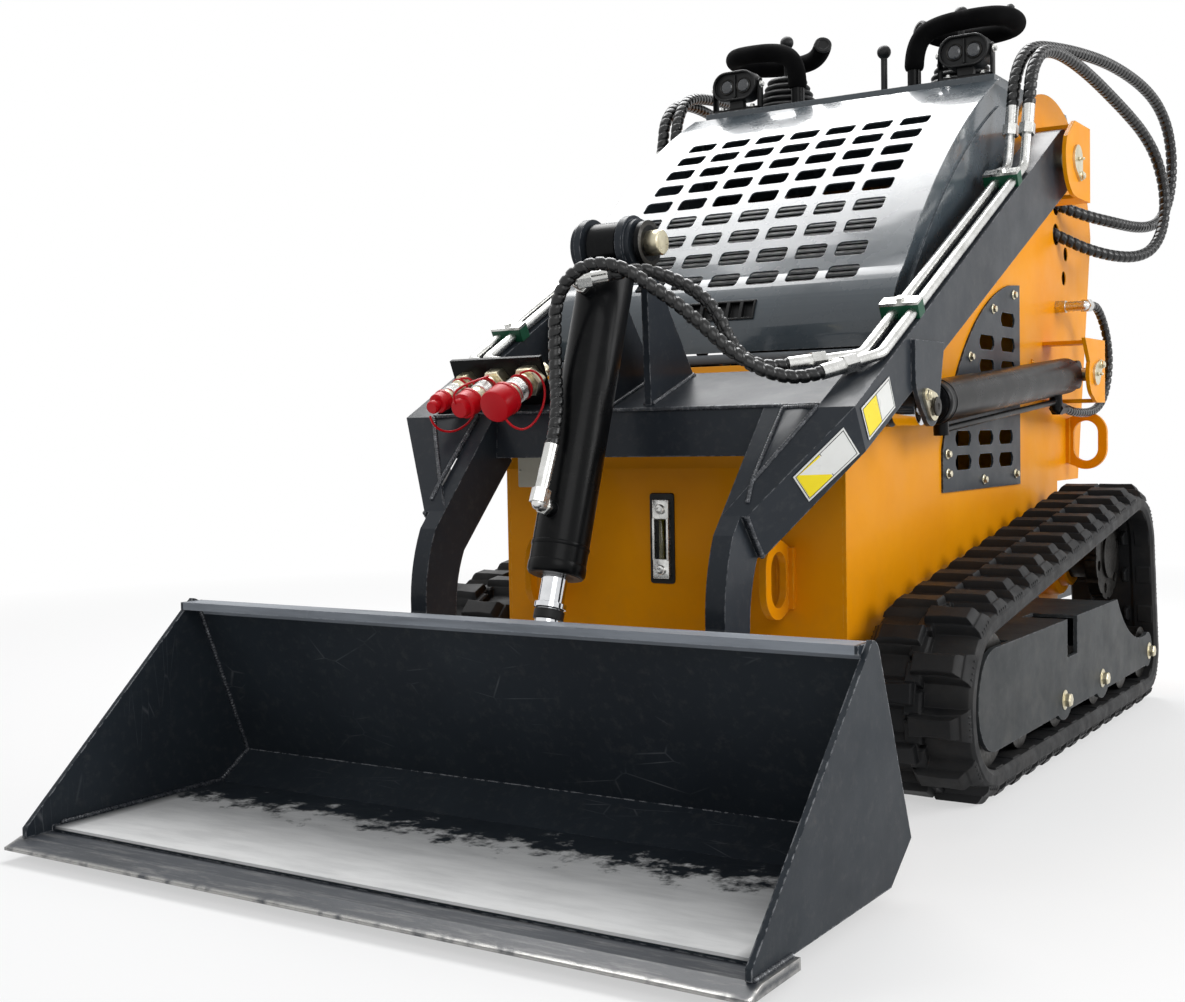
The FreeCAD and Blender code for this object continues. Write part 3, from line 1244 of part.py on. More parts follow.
def coupler_caps():
    """Dust caps over the couplers' noses."""
    solids = []
    for x, _, radius, length, cap_radius in COUPLERS:
        start = coupler_start(x, length - CAP_LAP)
        cap = Part.makeCylinder(cap_radius, CAP_LENGTH - CAP_ROUND, start, COUPLER_WAY)
        nose = Part.makeCone(cap_radius, cap_radius - CAP_ROUND / 2, CAP_ROUND,
                             start + COUPLER_WAY * (CAP_LENGTH - CAP_ROUND), COUPLER_WAY)
        hollow = Part.makeCylinder(radius, length, coupler_start(x), COUPLER_WAY)
        solids.append(cap.fuse(nose).cut(hollow).removeSplitter())
    return Part.makeCompound(solids)


# ---------------------------------------------------------------- cylinders
def square_off(way, side):
    """The unit vector square to a cylinder's axis in the Y-Z plane; side is +1 or -1."""
    return V(0, -way.z * side, way.y * side)


def barrel(pin, end, x, radius, eye_radius, eye_width, length, bore, rod_radius, extras):
    """A cylinder barrel from its eye towards the far pin, with its ports, bored for the rod."""
    start = yz(pin, x)
    way = (yz(end, x) - start).normalize()
    back = eye_radius + NECK_GAP
    tube = Part.makeCylinder(radius, length - back, start + way * back, way)
    gland = Part.makeCylinder(radius * 0.9, GLAND_LENGTH, start + way * length, way)
    neck = Part.makeCylinder(radius * 0.6, back + NECK_GAP, start, way)
    eye = rod_x(pin, eye_radius, x - eye_width / 2, x + eye_width / 2)
    hollow = Part.makeCylinder(rod_radius + RUNNING_GAP, length, start + way * (back + NECK_GAP), way)
    body = tube.multiFuse([gland, neck, eye] + extras).cut(hollow)
    return body.cut(rod_x(pin, bore, x - eye_width, x + eye_width)).removeSplitter()


def piston_rod(pin, end, x, radius, eye_radius, eye_width, pin_radius, inside, span):
    """A rod with its eye and the pin in it, which spans the bracket; the rest runs in the barrel."""
    start = yz(end, x)
    way = (yz(pin, x) - start).normalize()
    rod = Part.makeCylinder(radius, inside, start + way * (eye_radius / 2), way)
    eye = rod_x(end, eye_radius, x - eye_width / 2, x + eye_width / 2)
    reach = span / 2 - RUNNING_GAP
    return fused([rod, eye, rod_x(end, pin_radius, x - reach, x + reach)])


def lift_line():
    """Start and direction of the left lift cylinder's axis, and the way down from it."""
    start = yz(LIFT_REAR_PIN, LIFT_CENTRE_X)
    way = (yz(LIFT_FRONT_PIN, LIFT_CENTRE_X) - start).normalize()
    return start, way, square_off(way, 1)


def lift_barrel():
    """The left lift cylinder's barrel with the pipe under it and the elbow of its hose."""
    start, way, down = lift_line()
    pipe_drop = LIFT_BARREL_RADIUS + PIPE_GAP + PIPE_RADIUS
    extras = []
    for station in (LIFT_PORT_REAR, LIFT_PORT_FRONT):
        extras.append(Part.makeCylinder(PORT_RADIUS, pipe_drop + PIPE_RADIUS + PIPE_GAP / 2,
                                        start + way * station, down))
    level = start + down * pipe_drop
    extras.append(Part.makeCylinder(PIPE_RADIUS, LIFT_PORT_FRONT - LIFT_PORT_REAR,
                                    level + way * LIFT_PORT_REAR, way))
    elbow = start + way * LIFT_PORT_REAR + down * (pipe_drop + ELBOW_DROP)
    extras.append(bar(start + way * LIFT_PORT_REAR + down * LIFT_BARREL_RADIUS, elbow, ELBOW_RADIUS))
    extras.append(Part.makeSphere(ELBOW_RADIUS, elbow))
    extras.append(hose_end(elbow, Y_AXIS, LIFT_NUT, LIFT_HOSE / 2 + 2.0, LIFT_FERRULE))
    return barrel(LIFT_REAR_PIN, LIFT_FRONT_PIN, LIFT_CENTRE_X, LIFT_BARREL_RADIUS, LIFT_EYE_RADIUS,
                  LIFT_EYE_WIDTH, LIFT_BARREL_LENGTH, CYLINDER_PIN_RADIUS + RUNNING_GAP,
                  LIFT_ROD_RADIUS, extras)


def lift_hose_start():
    """Where the lift hose leaves its ferrule under the barrel."""
    start, way, down = lift_line()
    drop = LIFT_BARREL_RADIUS + PIPE_GAP + PIPE_RADIUS + ELBOW_DROP
    return start + way * LIFT_PORT_REAR + down * drop + Y_AXIS * (NUT_LENGTH + LIFT_FERRULE)


def lift_rod():
    """The left lift cylinder's rod."""
    return piston_rod(LIFT_REAR_PIN, LIFT_FRONT_PIN, LIFT_CENTRE_X, LIFT_ROD_RADIUS, LIFT_EYE_RADIUS,
                      LIFT_EYE_WIDTH, CYLINDER_PIN_RADIUS, LIFT_ROD_LENGTH, ARM_WIDTH)


def tilt_line():
    """Start and direction of the tilt cylinder's axis."""
    start = yz(TILT_TOP_PIN)
    return start, (yz(TILT_ROD_PIN) - start).normalize()


def tilt_ports(ahead=0.0):
    """The faces of the tilt cylinder's low and high ports, on its front, or points ahead of them."""
    start, way = tilt_line()
    out = square_off(way, -1) * (TILT_BARREL_RADIUS + PORT_HEIGHT + ahead)
    return [start + way * station + out for station in (TILT_PORT_LOW, TILT_PORT_HIGH)]


def tilt_barrel():
    """The tilt cylinder's barrel with its two port bosses in front."""
    start, way = tilt_line()
    extras = [bar(start + way * station, port, PORT_RADIUS)
              for station, port in zip((TILT_PORT_LOW, TILT_PORT_HIGH), tilt_ports())]
    return barrel(TILT_TOP_PIN, TILT_ROD_PIN, 0.0, TILT_BARREL_RADIUS, TILT_EYE_RADIUS, TILT_EYE_WIDTH,
                  TILT_BARREL_LENGTH, TILT_PIN_RADIUS + RUNNING_GAP, TILT_ROD_RADIUS, extras)


def elbow_fitting(seat, knee, end, radius, across):
    """A bright elbow from a port's face round a knee to the hose's end, with nut and ferrule."""
    way = (end - knee).normalize()
    ferrule = (end - knee).Length - NUT_LENGTH
    return fused([bar(seat, knee, radius), Part.makeSphere(radius, knee),
                  hose_end(knee, way, across, radius, ferrule)])


def tilt_fittings():
    """The elbows at the tilt cylinder's two hose ports."""
    ends = (TILT_HOSE_LOWER[-1], TILT_HOSE_UPPER[-1])
    return Part.makeCompound([elbow_fitting(port, knee, V(*end), ELBOW_RADIUS, TILT_NUT)
                              for port, knee, end in zip(tilt_ports(), tilt_ports(ELBOW_REACH), ends)])


def fitting_knee():
    """Where the left side's hose fitting turns."""
    return yz(FITTING_HOLE, BODY_HALF + FITTING_REACH)


def hose_fittings():
    """The elbows on the body's sides for the lift cylinders' hoses."""
    seat = yz(FITTING_HOLE, BODY_HALF)
    nut = hex_bar(seat, X_AXIS, LIFT_NUT, NUT_LENGTH)
    solid = elbow_fitting(seat, fitting_knee(), V(*LIFT_HOSE_ROUTE[0]), ELBOW_RADIUS, LIFT_NUT).fuse(nut)
    return pair(solid.removeSplitter())


def tilt_rod():
    """The tilt cylinder's rod with the pin in its eye."""
    return piston_rod(TILT_TOP_PIN, TILT_ROD_PIN, 0.0, TILT_ROD_RADIUS, TILT_ROD_EYE_RADIUS, TILT_EYE_WIDTH,
                      CYLINDER_PIN_RADIUS, TILT_ROD_LENGTH, TILT_EYE_WIDTH + 2 * SIDE_GAP)


# ---------------------------------------------------------------- tracks
TRACK_WHEELS = [
    # centre, belt radius: front idler, tail wheel, drive sprocket, in the order of the loop
    (IDLER_CENTRE, IDLER_BELT_RADIUS),
    (TAIL_CENTRE, TAIL_BELT_RADIUS),
    (SPROCKET_CENTRE, SPROCKET_BELT_RADIUS),
]


def loop_legs():
    """The loop as arcs (centre, radius, entry, turn) and runs (start, end, normal, length)."""
    normals = []
    count = len(TRACK_WHEELS)
    for i in range(count):
        (c1, r1), (c2, r2) = TRACK_WHEELS[i], TRACK_WHEELS[(i + 1) % count]
        normals.append(tangent_angle(c1, r1, c2, r2))
    legs = []
    for i in range(count):
        centre, radius = TRACK_WHEELS[i]
        following, next_radius = TRACK_WHEELS[(i + 1) % count]
        leave = normals[i]
        legs.append(("arc", centre, radius, normals[i - 1], (leave - normals[i - 1]) % (2 * math.pi)))
        start = polar(centre, radius, math.degrees(leave))
        end = polar(following, next_radius, math.degrees(leave))
        legs.append(("run", start, end, leave, math.dist(start, end)))
    return legs


def loop_wire(inset, x):
    """The belt's outline, moved inward by an inset."""
    edges = []
    for kind, one, two, turn, span in loop_legs():
        if kind == "arc":
            a, b, c = (polar(one, two - inset, math.degrees(turn + span * share))
                       for share in (0.0, 0.5, 1.0))
            edges.append(Part.Arc(yz(a, x), yz(b, x), yz(c, x)).toShape())
        else:
            inward = (-math.cos(turn), -math.sin(turn))
            edges.append(Part.LineSegment(yz(moved(one, inward, inset), x),
                                          yz(moved(two, inward, inset), x)).toShape())
    return Part.Wire(edges)


def leg_length(leg):
    """The length of one arc or run of the loop."""
    return leg[2] * leg[4] if leg[0] == "arc" else leg[4]


def loop_place(distance):
    """Point on the belt's outer face and its normal's angle, at a distance round the loop."""
    for leg in loop_legs():
        if distance <= leg_length(leg):
            if leg[0] == "arc":
                angle = leg[3] + distance / leg[2]
                return polar(leg[1], leg[2], math.degrees(angle)), angle
            return toward(leg[1], leg[2], distance), leg[3]
        distance -= leg_length(leg)
    return loop_place(0.0)


def lug(distance, x_low, x_high):
    """One tread block standing on the belt."""
    (y, z), angle = loop_place(distance)
    foot = LUG_FOOT / 2
    tip = LUG_TIP / 2
    profile = [V(0, -foot, -LUG_SINK), V(0, foot, -LUG_SINK), V(0, tip, LUG_HEIGHT), V(0, -tip, LUG_HEIGHT)]
    block = Part.Face(Part.makePolygon(profile + profile[:1])).extrude(V(x_high - x_low, 0, 0))
    block.rotate(V(0, 0, 0), X_AXIS, math.degrees(angle) - 90.0)
    block.translate(V(x_low, y, z))
    return block


def track():
    """The left belt with two staggered rows of lugs that overlap in the middle."""
    width = V(TRACK_WIDTH, 0, 0)
    belt = Part.Face(loop_wire(0.0, TRACK_INNER)).extrude(width)
    belt = belt.cut(Part.Face(loop_wire(BELT_THICKNESS, TRACK_INNER)).extrude(width))
    length = sum(leg_length(leg) for leg in loop_legs())
    count = round(length / LUG_PITCH)
    pitch = length / count
    middle = (TRACK_INNER + TRACK_OUTER) / 2
    lugs = []
    for i in range(count):
        lugs.append(lug(i * pitch, TRACK_INNER + LUG_EDGE, middle + LUG_EDGE))
        lugs.append(lug((i + 0.5) * pitch, middle - LUG_EDGE, TRACK_OUTER - LUG_EDGE))
    return fused([belt] + lugs)


def track_frame():
    """The box channel inside the belt: two profiled plates, a cover in two lengths and two beams."""
    radius = (FRAME_TOP - FRAME_LOW) / 2
    lower = [(FRAME_NOSE_Y, FRAME_TOP),
             ("arc", (FRAME_NOSE_Y - radius, FRAME_LOW + radius), (FRAME_NOSE_Y, FRAME_LOW))]
    for y in ROLLER_STATIONS[1:3]:
        lower += [(y - ROLLER_GUARD, FRAME_LOW),
                  ("arc", (y, FRAME_LOW - GUARD_DROP), (y + ROLLER_GUARD, FRAME_LOW))]
    rear = [(FRAME_TAIL[0], FRAME_LOW), ("arc", (FRAME_TAIL_END, TAIL_CENTRE[1]), FRAME_TAIL),
            ("arc", FRAME_SADDLE, FRAME_SHOULDER)]
    profile = lower + rear
    outer = prism(profile, FRAME_OUTER - FRAME_PLATE, FRAME_OUTER)
    inner = prism(profile, FRAME_INNER, FRAME_INNER + FRAME_PLATE)
    cover = box((FRAME_INNER, FRAME_OUTER), FRAME_COVER, (FRAME_TOP - FRAME_COVER_PLATE, FRAME_TOP))
    beams = [box((BODY_HALF, FRAME_INNER), (y, y + FRAME_BEAM_LENGTH), FRAME_BEAM_Z) for y in FRAME_BEAMS]
    ties = [box((FRAME_INNER, FRAME_OUTER), (y, y + FRAME_BEAM_LENGTH), FRAME_BEAM_Z) for y in FRAME_BEAMS]
    notch = box(((FRAME_INNER + FRAME_OUTER) / 2, FRAME_OUTER + 1), FRAME_NOTCH,
                (FRAME_NOTCH_LOW, FRAME_TOP + 1))
    return outer.multiFuse([inner, cover] + beams + ties).cut(notch).removeSplitter()


def track_wheels():
    """Idler, road rollers and tail wheel on their axles, between the frame's plates."""
    x_low = FRAME_INNER + FRAME_PLATE
    x_high = FRAME_OUTER - FRAME_PLATE
    wheels = [(IDLER_CENTRE, IDLER_BELT_RADIUS - BELT_THICKNESS - BELT_GAP),
              (TAIL_CENTRE, TAIL_BELT_RADIUS - BELT_THICKNESS - BELT_GAP)]
    wheels += [((y, ROLLER_Z), ROLLER_RADIUS) for y in ROLLER_STATIONS]
    solids = []
    for centre, radius in wheels:
        rims = [rod_x(centre, radius, low, low + WHEEL_RIM)
                for low in (x_low + WHEEL_SIDE_GAP, x_high - WHEEL_SIDE_GAP - WHEEL_RIM)]
        solids.append(fused([rod_x(centre, radius * WHEEL_HUB, x_low, x_high)] + rims))
    return solids


def drive_sprocket():
    """The left drive sprocket on its hub, with round holes and a notched rim."""
    disc = TRACK_INNER + SPROCKET_INSET
    centre = SPROCKET_CENTRE
    radius = SPROCKET_BELT_RADIUS - BELT_THICKNESS - BELT_GAP
    wheel = rod_x(centre, radius, disc, disc + SPROCKET_DISC)
    cutters = []
    for i in range(SPROCKET_TEETH):
        notch = polar(centre, radius + SPROCKET_NOTCH / 2, 360.0 / SPROCKET_TEETH * i)
        cutters.append(rod_x(notch, SPROCKET_NOTCH, disc - 1, disc + SPROCKET_DISC + 1))
    for i in range(SPROCKET_HOLES):
        hole = polar(centre, (radius + SPROCKET_HUB) / 2, 360.0 / SPROCKET_HOLES * (i + 0.25))
        cutters.append(rod_x(hole, (radius - SPROCKET_HUB) / 4, disc - 1, disc + SPROCKET_DISC + 1))
    wheel = wheel.cut(Part.makeCompound(cutters))
    hub = rod_x(centre, SPROCKET_HUB, BODY_HALF, disc + SPROCKET_DISC + PIN_HEAD)
    return wheel.fuse(hub).removeSplitter()


# ---------------------------------------------------------------- operator's end
def grab_handle():
    """The left handle: a foam-covered loop on a thinner post with its foot, and an end cap."""
    x, y = HANDLE_POST
    route = [V(x, y, CONSOLE_TOP + HANDLE_BARE)] + [V(dx + x, dy + y, dz + CONSOLE_TOP)
                                                   for dx, dy, dz in HANDLE_ROUTE]
    loop = pipe(route, HANDLE_RADIUS, HANDLE_BEND)
    end = (route[-1] - route[-2]).normalize()
    return fused([loop, bar(V(x, y, CONSOLE_TOP), route[0] + Z_AXIS, HANDLE_RADIUS * 0.7),
                  Part.makeCylinder(HANDLE_FLANGE, HANDLE_FLANGE_PLATE, V(x, y, CONSOLE_TOP)),
                  Part.makeCylinder(HANDLE_RADIUS * 0.8, HANDLE_CAP, route[-1], end)])


def console():
    """The operator's console between the towers, with a recessed panel in its rear slope."""
    slope_top = (CONSOLE_REAR_TOP, CONSOLE_TOP)
    body = prism([(CONSOLE_FRONT, CONSOLE_FRONT_LOW), (CONSOLE_FRONT, CONSOLE_TOP), slope_top, CONSOLE_REAR,
                  (CONSOLE_REAR[0], CONSOLE_BOTTOM[1]), CONSOLE_BOTTOM], -BODY_INNER, BODY_INNER)
    run = math.dist(slope_top, CONSOLE_REAR)
    way = left_normal(slope_top, CONSOLE_REAR)
    corners = [toward(slope_top, CONSOLE_REAR, along) for along in (PANEL_MARGIN, run - PANEL_MARGIN)]
    recess = prism([moved(corners[0], way, 1.0), moved(corners[1], way, 1.0),
                    moved(corners[1], way, -PANEL_RECESS), moved(corners[0], way, -PANEL_RECESS)],
                   -PANEL_HALF, PANEL_HALF)
    return body.cut(recess)


def stadium_y(half_straight, radius, y_low, y_high):
    """A flat oval across Y, centred on x = z = 0, with its long axis along X."""
    middle = box((-half_straight, half_straight), (y_low, y_high), (-radius, radius))
    ends = [Part.makeCylinder(radius, y_high - y_low, V(x, y_low, 0), Y_AXIS)
            for x in (-half_straight, half_straight)]
    return fused([middle] + ends)


def work_light():
    """The left oval lamp: bezel, two cups, cooling fins and its foot on the console."""
    front = -LAMP_DEPTH / 2
    shell = stadium_y(LAMP_STRAIGHT, LAMP_RADIUS, front, -front)
    recess = stadium_y(LAMP_STRAIGHT, LAMP_RADIUS - LAMP_BEZEL, front - 1, front + LAMP_RECESS)
    cups = [Part.makeCone(LAMP_CUP, LAMP_CUP / 2, LAMP_CUP, V(x, front + LAMP_RECESS, 0), Y_AXIS)
            for x in (-LAMP_STRAIGHT, LAMP_STRAIGHT)]
    shell = shell.cut(recess).cut(Part.makeCompound(cups))
    pitch = 2 * (LAMP_STRAIGHT + LAMP_RADIUS / 2) / (LAMP_FINS - 1)
    fins = [box((-LAMP_STRAIGHT - LAMP_RADIUS / 2 + i * pitch - LAMP_FIN / 2,
                 -LAMP_STRAIGHT - LAMP_RADIUS / 2 + i * pitch + LAMP_FIN / 2),
                (-front - 1, -front + LAMP_FIN_DEPTH), (-LAMP_RADIUS * 0.7, LAMP_RADIUS * 0.7))
            for i in range(LAMP_FINS)]
    x, y, z = LAMP_PLACE
    floor = CONSOLE_TOP - z
    stem = box((-LAMP_STEM, LAMP_STEM), (-LAMP_STEM / 2, LAMP_STEM / 2), (floor, -LAMP_RADIUS + LAMP_BEZEL))
    foot = box((-LAMP_FOOT[0] / 2, LAMP_FOOT[0] / 2), (-LAMP_FOOT[1] / 2, LAMP_FOOT[1] / 2),
               (floor, floor + LAMP_FOOT_PLATE))
    lamp = shell.multiFuse(fins + [stem, foot])
    lamp.translate(V(x, y, z))
    return lamp.removeSplitter()


def lever_boot():
    """A bellows boot of stacked folds round the left lever."""
    profile = [V(0, 0, 0), V(BOOT_RADIUS, 0, 0)]
    fold = BOOT_HEIGHT / BOOT_FOLDS
    for i in range(BOOT_FOLDS):
        radius = BOOT_RADIUS + (BOOT_TOP_RADIUS - BOOT_RADIUS) * (i + 1) / BOOT_FOLDS
        profile.append(V(radius + BOOT_FOLD_DEPTH, 0, (i + 0.5) * fold))
        profile.append(V(radius, 0, (i + 1) * fold))
    profile.append(V(0, 0, BOOT_HEIGHT))
    boot = Part.Face(Part.makePolygon(profile + profile[:1])).revolve(V(0, 0, 0), Z_AXIS, 360)
    boot.translate(V(LEVER_X, LEVER_Y, CONSOLE_TOP))
    return boot


def lever(x, y, foot, top):
    """A stick with a ball knob."""
    stick = Part.makeCylinder(LEVER_RADIUS, top - foot - KNOB_RADIUS, V(x, y, foot))
    return stick.fuse(Part.makeSphere(KNOB_RADIUS, V(x, y, top - KNOB_RADIUS))).removeSplitter()


def control_levers():
    """The two drive levers on their boots and the hand throttle between them."""
    foot = CONSOLE_TOP + BOOT_HEIGHT
    x, y, top = THROTTLE
    return Part.makeCompound([lever(LEVER_X, LEVER_Y, foot, LEVER_TOP),
                              lever(-LEVER_X, LEVER_Y, foot, LEVER_TOP),
                              lever(x, y, CONSOLE_TOP, top)])


def platform():
    """The operator's folding platform: a deck with a rim on three sides and two hinge lugs."""
    hinge_y, hinge_z = PLATFORM_HINGE
    front = hinge_y + PLATFORM_SETBACK
    deep = (PLATFORM_Z - PLATFORM_RIM, PLATFORM_Z)
    half = PLATFORM_HALF
    side = box((half - PLATFORM_SHEET, half), (front, PLATFORM_REAR), deep)
    solids = [box((-half, half), (front, PLATFORM_REAR), (PLATFORM_Z - PLATFORM_SHEET, PLATFORM_Z)), side,
              mirrored(side), box((-half, half), (PLATFORM_REAR - PLATFORM_SHEET, PLATFORM_REAR), deep)]
    radius = PLATFORM_LUG_RADIUS
    for x in (-PLATFORM_LUG_X, PLATFORM_LUG_X):
        low, high = x - PLATFORM_LUG_HALF, x + PLATFORM_LUG_HALF
        plate = prism([polar(PLATFORM_HINGE, radius, 90.0),
                       ("arc", polar(PLATFORM_HINGE, radius, 180.0), polar(PLATFORM_HINGE, radius, 270.0)),
                       (front + PLATFORM_SHEET, hinge_z - radius),
                       (front + PLATFORM_SHEET, hinge_z + radius)],
                      low, high)
        solids.append(plate.cut(rod_x(PLATFORM_HINGE, PLATFORM_PIN_RADIUS + RUNNING_GAP, low - 1, high + 1)))
    return fused(solids)


def platform_hinges():
    """Two ears on the tail with a pin at each lug of the platform."""
    solids = []
    reach = PLATFORM_LUG_HALF + PLATFORM_EAR_GAP
    roots = [(BODY_REAR_FOOT, PLATFORM_HINGE[1] - PLATFORM_EAR_DROP),
             (BODY_REAR_FOOT, PLATFORM_HINGE[1] + PLATFORM_EAR_DROP)]
    for x in (-PLATFORM_LUG_X, PLATFORM_LUG_X):
        ears = [ear_plate(PLATFORM_HINGE, *roots, PLATFORM_EAR_RADIUS, low, low + PLATFORM_EAR, 0)
                for low in (x - reach - PLATFORM_EAR, x + reach)]
        outside = reach + PLATFORM_EAR + PIN_HEAD
        solids.append(fused(ears + [rod_x(PLATFORM_HINGE, PLATFORM_PIN_RADIUS, x - outside, x + outside)]))
    return Part.makeCompound(solids)


# ---------------------------------------------------------------- hoses
def boom_hoses():
    """The two hoses from the left arm's tubes back into the body's side."""
    rise = tube_rise()
    starts = [tuple(yz(TUBE_TOP, x) + rise * (NUT_LENGTH + FERRULE_LENGTH)) for x in TUBE_X]
    return [hose("boom hose over", [starts[1]] + BOOM_HOSE_OVER, BOOM_HOSE, rise, None),
            hose("boom hose under", [starts[0]] + BOOM_HOSE_UNDER, BOOM_HOSE, rise, None)]


def lift_hose():
    """The hose from the fitting on the left side down to the lift cylinder's elbow."""
    away = (V(*LIFT_HOSE_ROUTE[0]) - fitting_knee()).normalize()
    return hose("lift hose", LIFT_HOSE_ROUTE + [tuple(lift_hose_start())], LIFT_HOSE, away, -Y_AXIS)


def tilt_hoses():
    """The two hoses from the left arm's tubes to the tilt cylinder's ports."""
    low, high = tilt_ports(ELBOW_REACH)
    rows = [("tilt hose lower", TILT_HOSE_LOWER, low), ("tilt hose upper", TILT_HOSE_UPPER, high)]
    hoses = []
    for (name, route, knee), x, start in zip(rows, TUBE_X, TUBE_HOSE_STARTS):
        lead = tube_nose(x, start)[1]
        hoses.append(hose(name, route, TILT_HOSE, lead, (knee - V(*route[-1])).normalize()))
    return hoses


# ---------------------------------------------------------------- export
def export(name, shape):
    placed = shape.copy()
    placed.translate(V(0, -MID_Y, 0))
    placed.exportStep("parts/" + name + ".step")
    print(name, len(placed.Solids), "valid" if placed.isValid() else "INVALID", round(placed.Volume / 1e6, 3))


os.makedirs("parts", exist_ok=True)
wheels = track_wheels()
side_plate = body_side()
arm = lift_arm()
beam = crossmember(arm)
belt = track()
frame = track_frame()
tubes = arm_tubes()
over_hose, under_hose = boom_hoses()
lower_hose, upper_hose = tilt_hoses()
lifting_hose = lift_hose()
left_barrel = lift_barrel()
PARTS = {
    "bucket_shell": bucket_shell(),
    "bucket_cutting_edge": bucket_edge(),
    "attach_plate": attach_plate(),
    "bucket_pins": bucket_pins(),
    "body_shell": body_shell(),
    "body_side_left": side_plate,
    "body_side_right": mirrored(side_plate),
    "side_vents": side_vents(),
    "arm_pivot_brackets": pivot_brackets(),
    "lift_cylinder_brackets": lift_brackets(),
    "pivot_pins": pivot_pins(),
    "tie_down_rings": tie_down_rings(),
    "engine_block": engine_block(),
    "oil_cooler": oil_cooler(),
    "hood": hood(),
    "hood_latch": hood_latch(),
    "hood_hinge": hood_hinge(),
    "side_cheeks": side_cheeks(),
    "lift_arm_left": arm,
    "lift_arm_right": mirrored(arm),
    "arm_crossmember": beam,
    "arm_tubes": Part.makeCompound(tubes + coupler_tubes()),
    "tube_clamps": tube_clamps(tubes),
    "clamp_covers": clamp_covers(),
    "coupler_plate": coupler_plate(beam),
    "aux_couplers": aux_couplers(),
    "coupler_caps": coupler_caps(),
    "tilt_bracket": tilt_bracket(),
    "tilt_pin": tilt_pin(),
    "lift_front_pins": lift_front_pins(),
    "lift_barrel_left": left_barrel,
    "lift_barrel_right": mirrored(left_barrel),
    "lift_rod_left": lift_rod(),
    "lift_rod_right": mirrored(lift_rod()),
    "tilt_barrel": tilt_barrel(),
    "tilt_fittings": tilt_fittings(),
    "tilt_rod": tilt_rod(),
    "hose_fittings": hose_fittings(),
    "tilt_hose_lower": lower_hose,
    "tilt_hose_upper": upper_hose,
    "boom_hose_over_left": over_hose,
    "boom_hose_over_right": mirrored(over_hose),
    "boom_hose_under_left": under_hose,
    "boom_hose_under_right": mirrored(under_hose),
    "lift_hose_left": lifting_hose,
    "lift_hose_right": mirrored(lifting_hose),
    "track_left": belt,
    "track_right": mirrored(belt),
    "track_frame_left": frame,
    "track_frame_right": mirrored(frame),
    "track_wheels": Part.makeCompound(wheels + [mirrored(w) for w in wheels]),
    "drive_sprockets": pair(drive_sprocket()),
    "grab_handles": pair(grab_handle()),
    "console": console(),
    "work_lights": pair(work_light()),
    "lever_boots": pair(lever_boot()),
    "control_levers": control_levers(),
    "platform": platform(),
    "platform_hinges": platform_hinges(),
}
for node, shape in PARTS.items():
    export(node, shape)
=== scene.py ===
"""Looks of the stand-on mini skid steer loader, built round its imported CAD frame."""
from math import asin, atan2, cos, dist, hypot, pi, radians, sin

import bmesh
import bpy
from mathutils import Matrix, Vector


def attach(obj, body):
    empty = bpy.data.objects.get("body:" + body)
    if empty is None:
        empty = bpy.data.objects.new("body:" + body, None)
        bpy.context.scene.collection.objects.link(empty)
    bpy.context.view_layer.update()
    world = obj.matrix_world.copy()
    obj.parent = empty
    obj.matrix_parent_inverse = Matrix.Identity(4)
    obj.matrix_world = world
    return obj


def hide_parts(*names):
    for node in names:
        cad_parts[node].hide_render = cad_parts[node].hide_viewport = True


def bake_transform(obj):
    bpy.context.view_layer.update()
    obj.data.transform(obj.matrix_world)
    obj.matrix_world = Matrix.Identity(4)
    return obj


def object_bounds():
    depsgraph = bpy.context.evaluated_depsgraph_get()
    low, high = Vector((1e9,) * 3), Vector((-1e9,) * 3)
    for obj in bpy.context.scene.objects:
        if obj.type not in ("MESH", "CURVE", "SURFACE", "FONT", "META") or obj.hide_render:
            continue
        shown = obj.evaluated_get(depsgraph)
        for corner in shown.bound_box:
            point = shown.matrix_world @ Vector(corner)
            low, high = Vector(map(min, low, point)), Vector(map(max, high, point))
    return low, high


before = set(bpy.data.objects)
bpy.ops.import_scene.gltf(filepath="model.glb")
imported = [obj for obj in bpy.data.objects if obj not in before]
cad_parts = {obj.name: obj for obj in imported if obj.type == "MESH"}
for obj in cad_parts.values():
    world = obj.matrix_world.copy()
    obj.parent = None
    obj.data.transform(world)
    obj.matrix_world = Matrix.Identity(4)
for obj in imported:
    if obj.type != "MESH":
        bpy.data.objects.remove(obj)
cad_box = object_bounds()
MID_Y = cad_box[1][1]

SCENE = bpy.context.scene
WHITE = (1, 1, 1, 1)
X, Y, Z = Vector((1, 0, 0)), Vector((0, 1, 0)), Vector((0, 0, 1))
MM = 0.001
TURN = 2 * pi
SIDES = (("left", 1), ("right", -1))


def place(x, y, z):
    """Millimetres, with y counted rearward from the cutting edge, as a point of the frame."""
    return Vector((x * MM, y * MM - MID_Y, z * MM))


def move(at, *steps):
    """A point moved by steps of (direction, millimetres)."""
    for way, size in steps:
        at = at + way * (size * MM)
    return at


def on_plane(at, right, up, corners):
    """The points of a plane at (rightward, upward) millimetres from a centre."""
    return [move(at, (right, a), (up, b)) for a, b in corners]


def oblong(low, high, half):
    """A rectangle's four corners."""
    return (low, -half), (high, -half), (high, half), (low, half)


def circle(centre, side, up, radius, count, start=0):
    """Points round a centre in the plane of two directions, the radius in millimetres."""
    angles = [start + TURN * k / count for k in range(count)]
    return [centre + (side * cos(a) + up * sin(a)) * (radius * MM) for a in angles]


def enter(name, data):
    """A new object of the scene."""
    thing = bpy.data.objects.new(name, data)
    SCENE.collection.objects.link(thing)
    return thing


